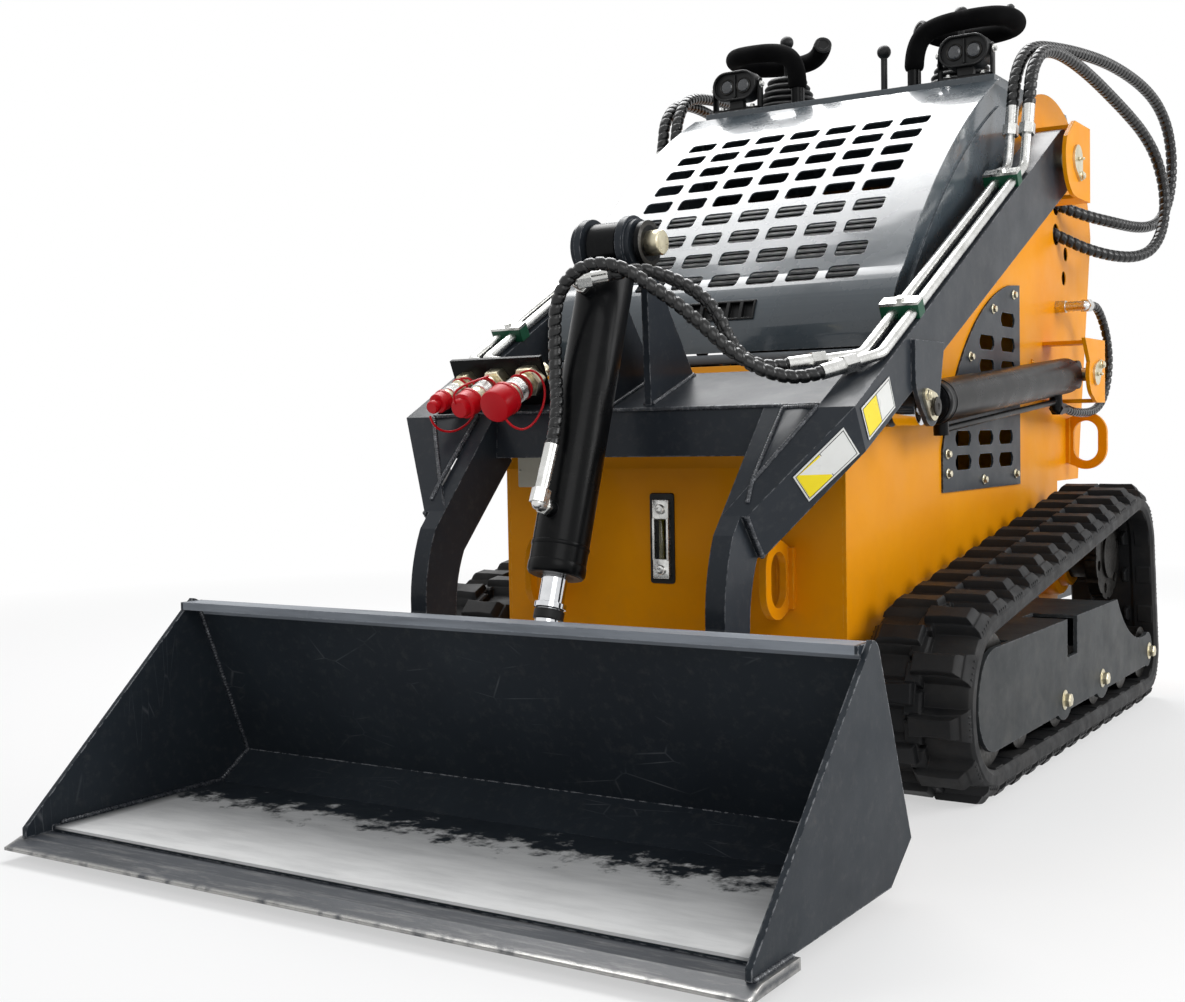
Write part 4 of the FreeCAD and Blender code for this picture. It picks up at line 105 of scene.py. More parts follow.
# ------------------------ camera
CAMERA_PLACE = (1303.6, -1372.2, 600.5)
CAMERA_YAW, CAMERA_DIP, CAMERA_ROLL = 0.5724, 0.0438, -0.0176
FOCAL_PIXELS = 1531.2254
IMAGE_WIDTH = 1185
SENSOR = 36


def make_camera():
    data = bpy.data.cameras.new("camera")
    data.sensor_fit = "HORIZONTAL"
    data.sensor_width = SENSOR
    data.lens = FOCAL_PIXELS * SENSOR / IMAGE_WIDTH
    data.clip_end = 100
    ahead = Vector((-sin(CAMERA_YAW) * cos(CAMERA_DIP),
                    cos(CAMERA_YAW) * cos(CAMERA_DIP), -sin(CAMERA_DIP)))
    turn = ahead.to_track_quat("-Z", "Y").to_matrix().to_4x4()
    camera = enter("camera", data)
    camera.matrix_world = (Matrix.Translation(place(*CAMERA_PLACE)) @ turn
                           @ Matrix.Rotation(CAMERA_ROLL, 4, "Z"))
    SCENE.camera = camera


make_camera()
SCENE.view_settings.view_transform = "Standard"


# ------------------------ material kit
def linear(colour):
    """A (red, green, blue) screen colour as linear light."""
    shares = [value / 255 for value in colour]
    return (*[c / 12.92 if c <= 0.04045 else ((c + 0.055) / 1.055) ** 2.4 for c in shares], 1)


class Graph:
    """Short calls that add nodes to one new material or world."""

    def __init__(self, name, group="materials"):
        self.owner = getattr(bpy.data, group).new(name)
        self.owner.use_nodes = True
        self.nodes = self.owner.node_tree.nodes
        self.shader = self.nodes.get("Principled BSDF")
        if self.shader:
            self.place = self.add("TexCoord").outputs["Object"]

    def feed(self, socket, value):
        """Sets a socket's value, or links another node's output to it."""
        if isinstance(value, bpy.types.NodeSocket):
            self.owner.node_tree.links.new(value, socket)
        else:
            socket.default_value = value

    def add(self, kind, sockets=None, **settings):
        """A new node with its settings and the values or links of its sockets."""
        node = self.nodes.new("ShaderNode" + kind)
        for key, value in settings.items():
            setattr(node, key, value)
        for key, value in (sockets or {}).items():
            self.feed(node.inputs[key], value)
        return node

    def set(self, **values):
        """Sets or links the shader's own sockets."""
        for key, value in values.items():
            self.feed(self.shader.inputs[key.replace("_", " ")], value)

    def mapped(self, stretch):
        """The object's coordinates, stretched along its axes."""
        if not stretch:
            return self.place
        return self.add("Mapping", {"Scale": stretch, "Vector": self.place}).outputs["Vector"]

    def axes(self):
        """The object's x, y and z, in metres."""
        return self.add("SeparateXYZ", {"Vector": self.place}).outputs

    def noise(self, scale, detail=3, rough=0.55, stretch=None):
        return self.add("TexNoise", {"Scale": scale, "Detail": detail, "Roughness": rough,
                                     "Vector": self.mapped(stretch)}).outputs["Fac"]

    def spread(self, source, low, high, out_low=0, out_high=1):
        sockets = {"Value": source, "From Min": low, "From Max": high,
                   "To Min": out_low, "To Max": out_high}
        return self.add("MapRange", sockets).outputs["Result"]

    def scratches(self, scale, stretch):
        """Thin lines: 1 on a line and 0 between them."""
        cells = self.add("TexVoronoi", {"Scale": scale, "Vector": self.mapped(stretch)},
                         feature="DISTANCE_TO_EDGE")
        return self.spread(cells.outputs["Distance"], 0, 0.02, 1, 0)

    def math(self, kind, first, second):
        return self.add("Math", {0: first, 1: second}, operation=kind).outputs[0]

    def times(self, first, second):
        return self.math("MULTIPLY", first, second)

    def mix(self, share, first, second):
        """The second colour over the first; a tuple is a screen colour."""
        first, second = [linear(c) if isinstance(c, tuple) else c for c in (first, second)]
        sockets = {"Factor": share, "A": first, "B": second}
        return self.add("Mix", sockets, data_type="RGBA").outputs["Result"]

    def rounded(self, radius):
        """The normal with its corners rounded."""
        return self.add("Bevel", {"Radius": radius}, samples=4).outputs["Normal"]

    def edges(self, radius):
        """1 on worn corners and 0 on flats."""
        flat = self.add("NewGeometry").outputs["Normal"]
        dot = self.add("VectorMath", {0: self.rounded(radius), 1: flat}, operation="DOT_PRODUCT")
        return self.math("SUBTRACT", 1, dot.outputs["Value"])

    def within(self, low, high):
        """1 inside an upright box, given by its lowest and highest corners."""
        axes = self.axes()
        share = 1
        for axis, a, b in zip("XYZ", low, high):
            over = self.math("GREATER_THAN", axes[axis], a)
            share = self.times(self.times(over, share), self.math("LESS_THAN", axes[axis], b))
        return share

    def bump(self, height, strength, distance, rounding=0):
        sockets = {"Strength": strength, "Distance": distance, "Height": height}
        if rounding:
            sockets["Normal"] = self.rounded(rounding)
        self.set(Normal=self.add("Bump", sockets).outputs["Normal"])

    def backdrop(self):
        """1 for the rays that see the white backdrop, and 0 for those that light the machine."""
        rays = self.add("LightPath").outputs
        seen = self.math("MAXIMUM", rays["Is Camera Ray"], rays["Is Glossy Ray"])
        return self.math("MAXIMUM", seen, rays["Is Transmission Ray"])


# ------------------------ materials
GREY_DUST = (150, 146, 138)
FIN_PITCH = 0.0105


def painted_bay_shade(g, body):
    """Painted shade inside the engine bay, below the deck and under the hood: the paint turns
    near-black there.
    """
    deck = g.within(place(-327.5, 884, 157), place(327.5, 2041, 538))
    bay = g.within(place(-327.5, 1020, 482), place(327.5, 2205, 1205))
    return g.mix(g.math("MAXIMUM", deck, bay), body, (9, 8, 7))


def pale_wear_and_painted_glare(g, body):
    """The bucket's floor, painted near-white up to a ragged edge as worn paint and a painted glare,
    and its rim, painted pale as rubbed paint and a painted highlight.
    """
    axes = g.axes()
    edge = g.math("ADD", axes["Y"], g.spread(g.noise(22, 6, 0.7), 0.25, 0.75, -0.09, 0.09))
    across = g.spread(g.math("ABSOLUTE", axes["X"], 0), 0.545, 0.578, 1, 0)
    # the floor's near-white band: worn paint and a painted glare
    floor = g.times(g.spread(edge, 292 * MM - MID_Y, 338 * MM - MID_Y, 1, 0),
                    g.within((-0.577, -2, 0.034), (0.577, 400 * MM - MID_Y, 0.0402)))
    streak = g.spread(g.noise(30, 6, 0.6, (0.25, 1, 1)), 0.3, 0.6, 0.8, 1)
    body = g.mix(g.times(g.times(floor, across), streak), body, (246, 246, 245))
    # the rim's pale band: rubbed paint and a painted highlight
    rim = g.within(place(-577, 300, 319), place(577, 372, 362))
    rubbed = g.spread(g.noise(9, 6, 0.6, (0.3, 1, 3)), 0.3, 0.65, 0.35, 0.9)
    return g.mix(g.times(rim, rubbed), body, (150, 156, 164))


def paint(name, colour, shade, worn, rough, coat=0.5, edge_wear_and_highlight=0.5, dust=GREY_DUST, dusty=0.12,
          scuffs=0, splash=0, gloss=0.3, finish=None):
    """Sprayed and baked paint: orange peel, slight mottling, dust, scuffs, and corners painted
    lighter as rubbed paint and a painted edge highlight.
    """
    g = Graph(name)
    body = g.mix(g.spread(g.noise(3, 5), 0.35, 0.7), colour, shade)
    body = g.mix(g.spread(g.noise(60, 6, 0.7), 0.52, 0.78, 0, dusty), body, dust)
    if splash:
        low = g.spread(g.axes()["Z"], 0.1, 0.45, 1, 0)
        grime = g.times(low, g.spread(g.noise(18, 7, 0.7), 0.45, 0.7, 0, splash))
        body = g.mix(grime, body, dust)
    if scuffs:
        lines = g.times(g.scratches(9, (1, 6, 0.6)), g.spread(g.noise(7, 3), 0.55, 0.75))
        body = g.mix(g.spread(lines, 0, 1, 0, scuffs), body, worn)
    # rubbed corners: worn paint, and a painted edge highlight that lightens the corners
    rubbed = g.times(g.edges(0.004), g.spread(g.noise(90, 4), 0.42, 0.62))
    body = g.mix(g.spread(rubbed, 0.06, 0.2, 0, edge_wear_and_highlight), body, worn)
    if finish:
        body = finish(g, body)
    g.set(Base_Color=body, Roughness=g.spread(g.noise(14, 4), 0.3, 0.7, *rough),
          Coat_Weight=coat, Coat_Roughness=0.08, Specular_IOR_Level=gloss)
    g.bump(g.noise(420, 2), 0.12, 0.0006, 0.0015)
    return g.owner


def surface(name, colour, shade, patches, marks, rough, grain, bump, **values):
    """A colour with patches of a second one, uneven gloss and a fine grain."""
    g = Graph(name)
    g.set(Base_Color=g.mix(g.spread(g.noise(*patches[0]), *patches[1]), colour, shade),
          Roughness=g.spread(g.noise(*marks), 0.3, 0.7, *rough), **values)
    g.bump(g.noise(*grain), *bump)
    return g.owner


def steel(name, colour, shade, rough, peel=0.2):
    """Bare or plated metal with fine marks."""
    return surface(name, colour, shade, ((26, 5, 0.65), (0.35, 0.7)), (140, 3, 0.6), rough,
                   (280, 2, 0.5), (peel, 0.0004, 0.001), Metallic=1)


def rubber(name, colour, dust, dusty, rough, grain=300, peel=0.3, stretch=None, speck=9,
           gloss=0.3):
    """Moulded rubber or plastic with a dull, dusty face."""
    return surface(name, colour, dust, ((speck, 8, 0.7), (0.45, 0.75, 0, dusty)), (30, 4), rough,
                   (grain, 3, 0.55, stretch), (peel, 0.0008, 0.002), Specular_IOR_Level=gloss)


def glass(name, colour):
    """Clear moulded glass or plastic with faint moulding marks."""
    return surface(name, colour, tuple(c * 0.9 for c in colour), ((80, 3), (0.3, 0.7)), (50, 3),
                   (0.06, 0.15), (240, 2), (0.1, 0.0004),
                   Transmission_Weight=0.75, IOR=1.49, Coat_Weight=0.4)


def finned(name):
    """A cooler's bright fins on a flat face, with painted shade as black stripes in the gaps
    between them.
    """
    g = Graph(name)
    wave = g.math("SINE", g.times(g.axes()["Z"], TURN / FIN_PITCH), 0)
    metal = g.mix(g.noise(40, 5), (250, 250, 250), (214, 216, 218))
    # the black stripes between the fins are painted shade
    g.set(Base_Color=g.mix(g.spread(wave, 0.35, 0.6), (12, 12, 13), metal), Specular_IOR_Level=0.3,
          Roughness=g.spread(g.noise(60, 3), 0.3, 0.7, 0.35, 0.6))
    g.bump(wave, 0.4, 0.002)
    return g.owner


def cut_edge(name):
    """Dark paint on a steel blade, worn through along its corners and in streaks."""
    g = Graph(name)
    body = g.mix(g.spread(g.noise(5, 5), 0.35, 0.7), (62, 66, 72), (48, 52, 58))
    streak = g.spread(g.noise(24, 7, 0.75, (0.4, 4, 4)), 0.5, 0.72)
    rubbed = g.spread(g.edges(0.012), 0.02, 0.14)
    rubbed = g.times(rubbed, g.spread(g.noise(40, 5), 0.3, 0.5))
    mask = g.math("MAXIMUM", rubbed, g.times(streak, 0.35))
    g.set(Base_Color=g.mix(mask, body, (196, 194, 190)),
          Roughness=g.spread(mask, 0, 1, 0.42, 0.3), Metallic=g.spread(mask, 0.3, 0.9, 0, 0.85))
    g.bump(g.noise(90, 6, 0.7), 0.35, 0.0012, 0.002)
    return g.owner


def welded(name, colour, bare):
    """A painted weld bead with bright bare spots on its ripples."""
    g = Graph(name)
    spots = g.spread(g.noise(160, 5, 0.7), 0.5, 0.68)
    g.set(Base_Color=g.mix(spots, colour, bare), Metallic=g.spread(spots, 0, 1, 0.1, 0.6),
          Roughness=g.spread(g.noise(90, 3), 0.3, 0.7, 0.18, 0.42))
    g.bump(g.noise(500, 4), 0.4, 0.0008)
    return g.owner


MATERIALS = {
    # the yellow's finish paints near-black shade inside the engine bay
    "yellow": paint("yellow_paint", (240, 156, 8), (228, 143, 5), (246, 190, 80), (0.3, 0.44),
                    dusty=0.03, dust=(150, 120, 70), splash=0.25, coat=0.04, gloss=0.08,
                    finish=painted_bay_shade),
    "dark": paint("dark_grey_paint", (46, 51, 57), (38, 42, 48), (168, 170, 174), (0.28, 0.42),
                  edge_wear_and_highlight=0.6, coat=0.06, gloss=0.13, dusty=0.07),
    "glossy": paint("glossy_grey_paint", (74, 84, 91), (62, 71, 78), (168, 170, 174), (0.2, 0.34),
                    edge_wear_and_highlight=0.6, gloss=0.4, dusty=0.06),
    # the bucket's finish paints its floor and rim pale: wear, and painted glare
    "bucket": paint("bucket_paint", (42, 48, 54), (33, 38, 44), (176, 178, 182), (0.36, 0.5),
                    edge_wear_and_highlight=0.9, scuffs=0.25, coat=0.02, gloss=0.12, dusty=0.07, finish=pale_wear_and_painted_glare),
    "frame": paint("track_frame_paint", (56, 59, 61), (50, 53, 55), (150, 152, 155), (0.42, 0.55),
                   coat=0, gloss=0.1, dusty=0.06, splash=0.1),
    "black": paint("black_paint", (11, 12, 14), (8, 9, 10), (60, 62, 65), (0.24, 0.36), edge_wear_and_highlight=0.25,
                   coat=0.02, gloss=0.1, dusty=0.02),
    "engine": paint("engine_paint", (20, 21, 23), (12, 13, 15), (60, 60, 60), (0.4, 0.6), coat=0),
    "fins": finned("cooler_fins"),
    "edge": cut_edge("cutting_edge_steel"),
    "worn": steel("worn_steel", (70, 69, 67), (40, 38, 36), (0.34, 0.58)),
    "bright": steel("bright_steel", (220, 220, 218), (188, 188, 184), (0.2, 0.36)),
    "zinc": steel("yellow_zinc", (226, 219, 196), (190, 180, 148), (0.26, 0.42)),
    "chrome": steel("hard_chrome", (225, 226, 228), (205, 207, 210), (0.05, 0.12), peel=0.05),
    "rubber": rubber("track_rubber", (18, 19, 21), (64, 60, 55), 0.28, (0.45, 0.68), grain=160,
                     stretch=(6, 1, 1), gloss=0.25),
    "boot": rubber("boot_rubber", (13, 14, 15), (52, 52, 50), 0.15, (0.4, 0.6), gloss=0.25),
    "guard": rubber("guard_plastic", (12, 13, 14), (46, 45, 43), 0.12, (0.2, 0.36), grain=500,
                    peel=0.15, speck=30, gloss=0.45),
    "plastic": rubber("black_plastic", (13, 14, 15), (44, 44, 44), 0.12, (0.35, 0.55)),
    "foam": rubber("black_foam", (8, 8, 9), (26, 26, 26), 0.15, (0.85, 1), grain=900, peel=0.5,
                   gloss=0.08),
    "green": rubber("green_plastic", (12, 74, 50), (40, 84, 64), 0.2, (0.35, 0.5)),
    "red": rubber("red_plastic", (208, 8, 26), (172, 12, 24), 0.2, (0.3, 0.45), peel=0.12,
                  speck=40, gloss=0.25),
    "seal": rubber("grey_seal", (120, 124, 128), (80, 82, 84), 0.4, (0.5, 0.7)),
    "white_film": rubber("white_film", (232, 233, 230), (200, 198, 190), 0.3, (0.25, 0.4),
                         peel=0.08),
    "yellow_film": rubber("yellow_film", (250, 226, 20), (226, 200, 30), 0.3, (0.25, 0.4),
                          peel=0.08),
    "pale_film": rubber("pale_film", (206, 202, 186), (170, 160, 140), 0.4, (0.4, 0.6), peel=0.1),
    "weld_dark": welded("dark_weld", (44, 48, 54), (120, 122, 126)),
    "weld_yellow": welded("yellow_weld", (226, 144, 8), (236, 166, 46)),
    "lens": glass("lamp_lens", (120, 124, 130)),
    "tube_glass": glass("gauge_glass", (150, 140, 40)),
}

# the look of each CAD node
NODE_LOOKS = {
    "yellow": "body_shell body_side_left body_side_right arm_pivot_brackets"
              " lift_cylinder_brackets tie_down_rings",
    "dark": "side_vents lift_arm_left lift_arm_right arm_crossmember tilt_bracket platform"
            " platform_hinges",
    "glossy": "hood hood_hinge side_cheeks console",
    "frame": "track_frame_left track_frame_right",
    "bucket": "bucket_shell attach_plate",
    "black": "lift_barrel_left lift_barrel_right tilt_barrel coupler_plate",
    "engine": "engine_block",
    "fins": "oil_cooler",
    "edge": "bucket_cutting_edge",
    "worn": "drive_sprockets track_wheels",
    "bright": "bucket_pins tilt_pin arm_tubes clamp_covers tilt_fittings hose_fittings",
    "zinc": "pivot_pins lift_front_pins aux_couplers",
    "chrome": "lift_rod_left lift_rod_right tilt_rod",
    "green": "tube_clamps",
    "red": "coupler_caps",
    "plastic": "work_lights control_levers hood_latch",
}
# a material name for the pieces of each look; glass and films have none
SLOTS = {look: slot for slot, looks in (
    ("yellow_paint", "yellow weld_yellow"), ("dark_grey_paint", "dark frame weld_dark"),
    ("black_paint", "black"), ("worn_steel", "worn"), ("bright_steel", "bright zinc chrome"),
    ("black_rubber", "rubber boot guard seal"), ("black_plastic", "plastic foam"),
    ("red_plastic", "red")) for look in looks.split()}


def dress(node, look):
    """Gives a CAD node its material."""
    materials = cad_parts[node].data.materials
    if not materials:
        materials.append(None)
    for index in range(len(materials)):
        materials[index] = MATERIALS[look]


for look, nodes in NODE_LOOKS.items():
    for node in nodes.split():
        dress(node, look)


# ------------------------ mesh kit
WELD_PITCH = 5
WELD_STEP = 1.25


class Shape:
    """Points and faces gathered for one piece; each call adds to them and returns the shape."""

    def __init__(self):
        self.points, self.faces = [], []

    def rings(self, rows, loop=False):
        """Faces between closed rings of equally many points, with caps unless the rows loop."""
        count, base = len(rows[0]), len(self.points)
        self.points += [Vector(point) for row in rows for point in row]
        for i in range(len(rows) - (not loop)):
            a, b = base + i * count, base + (i + 1) % len(rows) * count
            self.faces += [(a + k, a + (k + 1) % count, b + (k + 1) % count, b + k)
                           for k in range(count)]
        if not loop:
            last = len(self.points)
            self.faces += [tuple(range(base, base + count)), tuple(range(last - count, last))]
        return self

    def lathe(self, at, way, profile, sides=32):
        """A turned form: profile rows are (radius, distance along the way), in millimetres."""
        side = way.orthogonal().normalized()
        up = way.cross(side).normalized()
        return self.rings([circle(move(at, (way, along)), side, up, radius, sides)
                           for radius, along in profile])

    def sweep(self, points, radius, sides=16):
        """A tube along points; its radius may be a call of (point's index, share of the turn)."""
        rows, side = [], None
        for i, point in enumerate(points):
            way = (points[min(i + 1, len(points) - 1)] - points[max(i - 1, 0)]).normalized()
            side = (way.orthogonal() if side is None else side - way * side.dot(way)).normalized()
            up = way.cross(side)
            row = []
            for share in [k / sides for k in range(sides)]:
                size = (radius(i, share) if callable(radius) else radius) * MM
                turn = TURN * share
                row.append(point + side * (size * cos(turn)) + up * (size * sin(turn)))
            rows.append(row)
        return self.rings(rows)

    def plate(self, outline, out, thickness, lip=0.6):
        """A flat plate with a softened rim: outline points lie on the seat, out is square to it."""
        centre = sum(outline, Vector()) / len(outline)
        rim = [move(point, (out, thickness - lip)) for point in outline]
        top = [move(point, (out, thickness)) for point in outline]
        top = [move(point, ((centre - point).normalized(), lip)) for point in top]
        return self.rings([outline, rim, top])

    def bolt(self, at, out, across=13, height=7):
        """A hexagon head with a chamfered top on its washer."""
        self.lathe(at, out, [(across * 0.82, 0), (across * 0.82, 1.2), (across * 0.74, 1.9)], 24)
        side = out.orthogonal().normalized()
        up, radius = out.cross(side), across / 2 / cos(radians(30))
        levels = (1, 1.8), (1, 1.8 + height * 0.78), (0.84, 1.8 + height)
        return self.rings([circle(move(at, (out, along)), side, up, radius * share, 6, radians(15))
                           for share, along in levels])

    def bead(self, line, radius):
        """A weld bead: a rope of overlapping ripples along a seam."""
        def ripple(i, share):
            return radius * (0.86 + 0.16 * abs(sin(pi * i * WELD_STEP / WELD_PITCH)))
        return self.sweep(evenly(line, WELD_STEP * MM), ripple, 8)

    def piece(self, name, look, body="chassis", bevel=0, smooth=35, slot=None):
        """The finished object, with its look's material, riding on its body when one is given."""
        mesh = bpy.data.meshes.new(name)
        mesh.from_pydata(self.points, [], self.faces)
        made = bmesh.new()
        made.from_mesh(mesh)
        bmesh.ops.recalc_face_normals(made, faces=made.faces)
        if bevel:
            sharp = [edge for edge in made.edges if len(edge.link_faces) == 2
                     and edge.calc_face_angle(0) > radians(25)]
            bmesh.ops.bevel(made, geom=sharp, offset=bevel * MM, segments=2, profile=0.6,
                            affect="EDGES", clamp_overlap=True)
        made.to_mesh(mesh)
        made.free()
        mesh.shade_smooth()
        mesh.set_sharp_from_angle(angle=radians(smooth))
        mesh.materials.append(MATERIALS[look])
        piece = enter(name, mesh)
        slot = SLOTS.get(look) if slot is None else slot
        if body:
            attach(piece, body)
        return piece


def evenly(points, step):
    """Points about a step apart along a fine line, ends kept."""
    total = sum((b - a).length for a, b in zip(points, points[1:]))
    count = max(2, round(total / step))
    made, run, k = [points[0].copy()], 0, 1
    for a, b in zip(points, points[1:]):
        length = (b - a).length
        while k < count and run + length >= total * k / count:
            made.append(a.lerp(b, (total * k / count - run) / length))
            k += 1
        run += length
    return made + [points[-1].copy()]


def smooth_line(route, step):
    """Points a step apart, in millimetres, along the NURBS spline with these control points."""
    curve = bpy.data.curves.new("line", "CURVE")
    curve.dimensions = "3D"
    curve.resolution_u = 24
    spline = curve.splines.new("NURBS")
    spline.points.add(len(route) - 1)
    for point, spot in zip(spline.points, route):
        point.co = (*spot, 1)
    spline.order_u = 3
    spline.use_endpoint_u = True
    holder = bpy.data.objects.new("line", curve)
    mesh = bpy.data.meshes.new_from_object(holder)
    points = [vertex.co.copy() for vertex in mesh.vertices]
    bpy.data.objects.remove(holder)
    bpy.data.meshes.remove(mesh)
    bpy.data.curves.remove(curve)
    return evenly(points, step * MM)


def turned(name, look, at, way, *profiles, sides=48, body="chassis", smooth=35):
    """A piece of forms turned about one axis."""
    shape = Shape()
    for profile in profiles:
        shape.lathe(at, way, profile, sides)
    return shape.piece(name, look, body, smooth=smooth)


def patch(centre, right, up, half_wide, half_high, corner):
    """A rectangle's outline with round corners; sizes in millimetres."""
    points = []
    for sx, sy, start in ((1, 1, 0), (-1, 1, 90), (-1, -1, 180), (1, -1, 270)):
        for k in range(5):
            angle = radians(start + 22.5 * k)
            points.append(move(centre, (right, sx * (half_wide - corner) + corner * cos(angle)),
                               (up, sy * (half_high - corner) + corner * sin(angle))))
    return points


# ------------------------ hoses
GUARD_PITCH = 17
GUARD_RINGS = 10
GUARD_GROOVE = 2.6
HOSE_SIDES = 20
# the guards' diameters
TILT_GUARD, BOOM_GUARD, LIFT_GUARD = 21, 25, 19

# the routes of the CAD tubes, in millimetres, for the machine's left side
TILT_LOWER = [(345, 758, 687), (331.2, 740.5, 680.9), (306, 715, 680), (271, 689, 694),
              (234, 672, 723), (197, 656, 762), (160, 640, 797), (127, 622, 823), (103, 609, 843),
              (79, 598, 855), (45, 592, 859), (11, 590, 847), (-15, 592, 820), (-27, 595, 788),
              (-30, 598, 743), (-25, 591, 694), (-8, 569, 648), (0, 549.2, 606.2), (0, 540, 585)]
TILT_UPPER = [(291, 754, 700), (274.7, 737.9, 697.2), (254, 722, 701), (234, 711, 715),
              (216, 704, 742), (202, 704, 774), (179, 703, 804), (147, 696, 828), (112, 681, 845),
              (88, 668, 853), (62.4, 651.2, 848.9), (42, 641, 845)]
BOOM_OVER = [(376, 1593.1, 1218.1), (376, 1600.1, 1244.7), (378, 1611, 1284), (381, 1641, 1324),
             (387, 1692, 1352), (396, 1789, 1368), (412, 1930, 1383), (430, 2080, 1390),
             (446, 2220, 1384), (458, 2330, 1370), (466, 2421, 1346), (472, 2489, 1301),
             (474, 2522, 1229), (471, 2512, 1149), (463, 2460, 1087), (453, 2382, 1062),
             (441, 2280, 1052), (425, 2172, 1052), (385, 2098, 1062), (346, 2056, 1079),
             (306, 2026, 1102)]
BOOM_UNDER = [(408, 1593.1, 1218.1), (408, 1600.1, 1244.7), (409, 1607, 1278), (410, 1631, 1309),
              (412, 1672, 1336), (417, 1752, 1349), (424, 1860, 1346), (432, 1975, 1333),
              (442, 2087, 1312), (453, 2188, 1289), (464, 2277, 1262), (478, 2344, 1215),
              (490, 2373, 1138), (491, 2355, 1059), (481, 2300, 1002), (462, 2228, 978),
              (431, 2154, 975), (390, 2094, 987), (348, 2058, 1010), (306, 2028, 1036)]
LIFT = [(394, 2078, 864), (395.3, 2098.8, 865.3), (396, 2130, 862.5), (397, 2170, 840),
        (400, 2201, 798), (402, 2211, 746), (401, 2198, 695), (399, 2164, 655), (396, 2115, 634),
        (394, 2056, 628), (392, 1992, 628), (391, 1935, 631), (390, 1903.2, 636.5),
        (390, 1882.3, 636.5)]


def guarded_hose(node, route, diameter, sign=1):
    """A hose in its spiral guard, which stands for its CAD tube."""
    step = GUARD_PITCH / GUARD_RINGS
    line = smooth_line([place(sign * x, y, z) for x, y, z in route], step)

    def guard(i, share):
        turn = TURN * (i * step / GUARD_PITCH - share)
        return diameter / 2 - GUARD_GROOVE * (0.5 + 0.5 * cos(turn)) ** 7
    hose = Shape().sweep(line, guard, HOSE_SIDES).piece("guard_" + node, "guard", None, smooth=60)
    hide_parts(node)
    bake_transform(hose)


for name, route, length, x in (("lower", TILT_LOWER, 730, 280), ("upper", TILT_UPPER, 345, 260)):
    guarded_hose("tilt_hose_" + name, route, TILT_GUARD)
for side, sign in SIDES:
    for name, route, length in (("over_", BOOM_OVER, 1722), ("under_", BOOM_UNDER, 1433)):
        guarded_hose("boom_hose_" + name + side, route, BOOM_GUARD,
                     sign)
    guarded_hose("lift_hose_" + side, LIFT, LIFT_GUARD,
                 sign)

# ------------------------ couplers and their caps' straps
COUPLER_LEAN = radians(24)
COUPLER_WAY = Vector((0, -cos(COUPLER_LEAN), -sin(COUPLER_LEAN)))
COUPLER_UP = Vector((0, -sin(COUPLER_LEAN), cos(COUPLER_LEAN)))
COUPLER_SEAT = (772 - 8 * cos(COUPLER_LEAN), 700 - 8 * sin(COUPLER_LEAN))
# how far the caps sit beyond the couplers of the plain solids
NOSE = 15
# the straps' thickness, and the radius of their hoops' wire
STRAP, HOOP = 4, 2.2
# the coupler's x, its body's radius and length, its foot's width across flats, its cap's radius
# and collar, and the cap's profile beyond the collar
COUPLERS = (
    (-190, 19, 78, 48, 28, 1.2, ((28, 34), (26.5, 37.5), (24, 38))),
    (-258, 16, 84, 42, 22, 1, ((22, 24), (20, 26), (17, 26.5), (16, 36), (14.5, 38))),
    (-323, 13, 74, 34, 17, 1,
     ((17, 19), (15, 21), (9, 21.5), (8, 26), (11, 28), (11.5, 35), (10, 38))),
)
# each strap's hoop's place along the coupler, and its points as (along, sideways, up) from the
# plate's face
STRAPS = (
    (38, ((36, 4, 23), (32, 16, 27), (28, 29, 24), (26, 38, 10), (30, 42, -10), (46, 44, -30),
          (68, 42, -46), (88, 36, -50), (101, 27, -42), (105, 18, -29), (103, 14, -24))),
    (38, ((38, 4, 20), (44, 14, 25), (58, 18, 29), (76, 14, 33), (96, 8, 35), (112, 2, 32),
          (120, 0, 22), (117, 0, 12))),
    (31, ((30, 6, 16), (26, 17, 17), (24, 26, 8), (30, 34, -12), (48, 38, -34), (70, 34, -48),
          (92, 22, -50), (108, 8, -40), (115, 1, -22), (113, 0, -10))),
)


def coupler_point(x, along, aside=0, up=0):
    """A point along a coupler from the plate's face, and off its axis, in millimetres."""
    return place(x, *COUPLER_SEAT) + (COUPLER_WAY * along + X * aside + COUPLER_UP * up) * MM


def cap_strap(number, x, radius, hoop_at, route):
    """A cap's free strap, and the hoop that holds it on the coupler."""
    points = []
    for along, aside, up in route:
        beyond = NOSE * min(max((along - 40) / 50, 0), 1)
        points.append(coupler_point(x, along + beyond, aside, up))
    line = smooth_line(points, 2.5)
    strap = Shape().sweep(line, STRAP / 2, 12).piece("cap_strap_%d" % number, "red", "lift_arms")
    rows = []
    for k in range(40):
        centre = coupler_point(x, hoop_at, (radius + HOOP) * cos(TURN * k / 40),
                               (radius + HOOP) * sin(TURN * k / 40))
        outward = (centre - coupler_point(x, hoop_at)).normalized()
        rows.append([centre + (outward * cos(pi * m / 5) + COUPLER_WAY * sin(pi * m / 5))
                     * (HOOP * MM) for m in range(10)])
    Shape().rings(rows, loop=True).piece("cap_ring_%d" % number, "red", "lift_arms")


for number, (coupler, strap) in enumerate(zip(COUPLERS, STRAPS), 1):
    cap_strap(number, *coupler[:2], *strap)


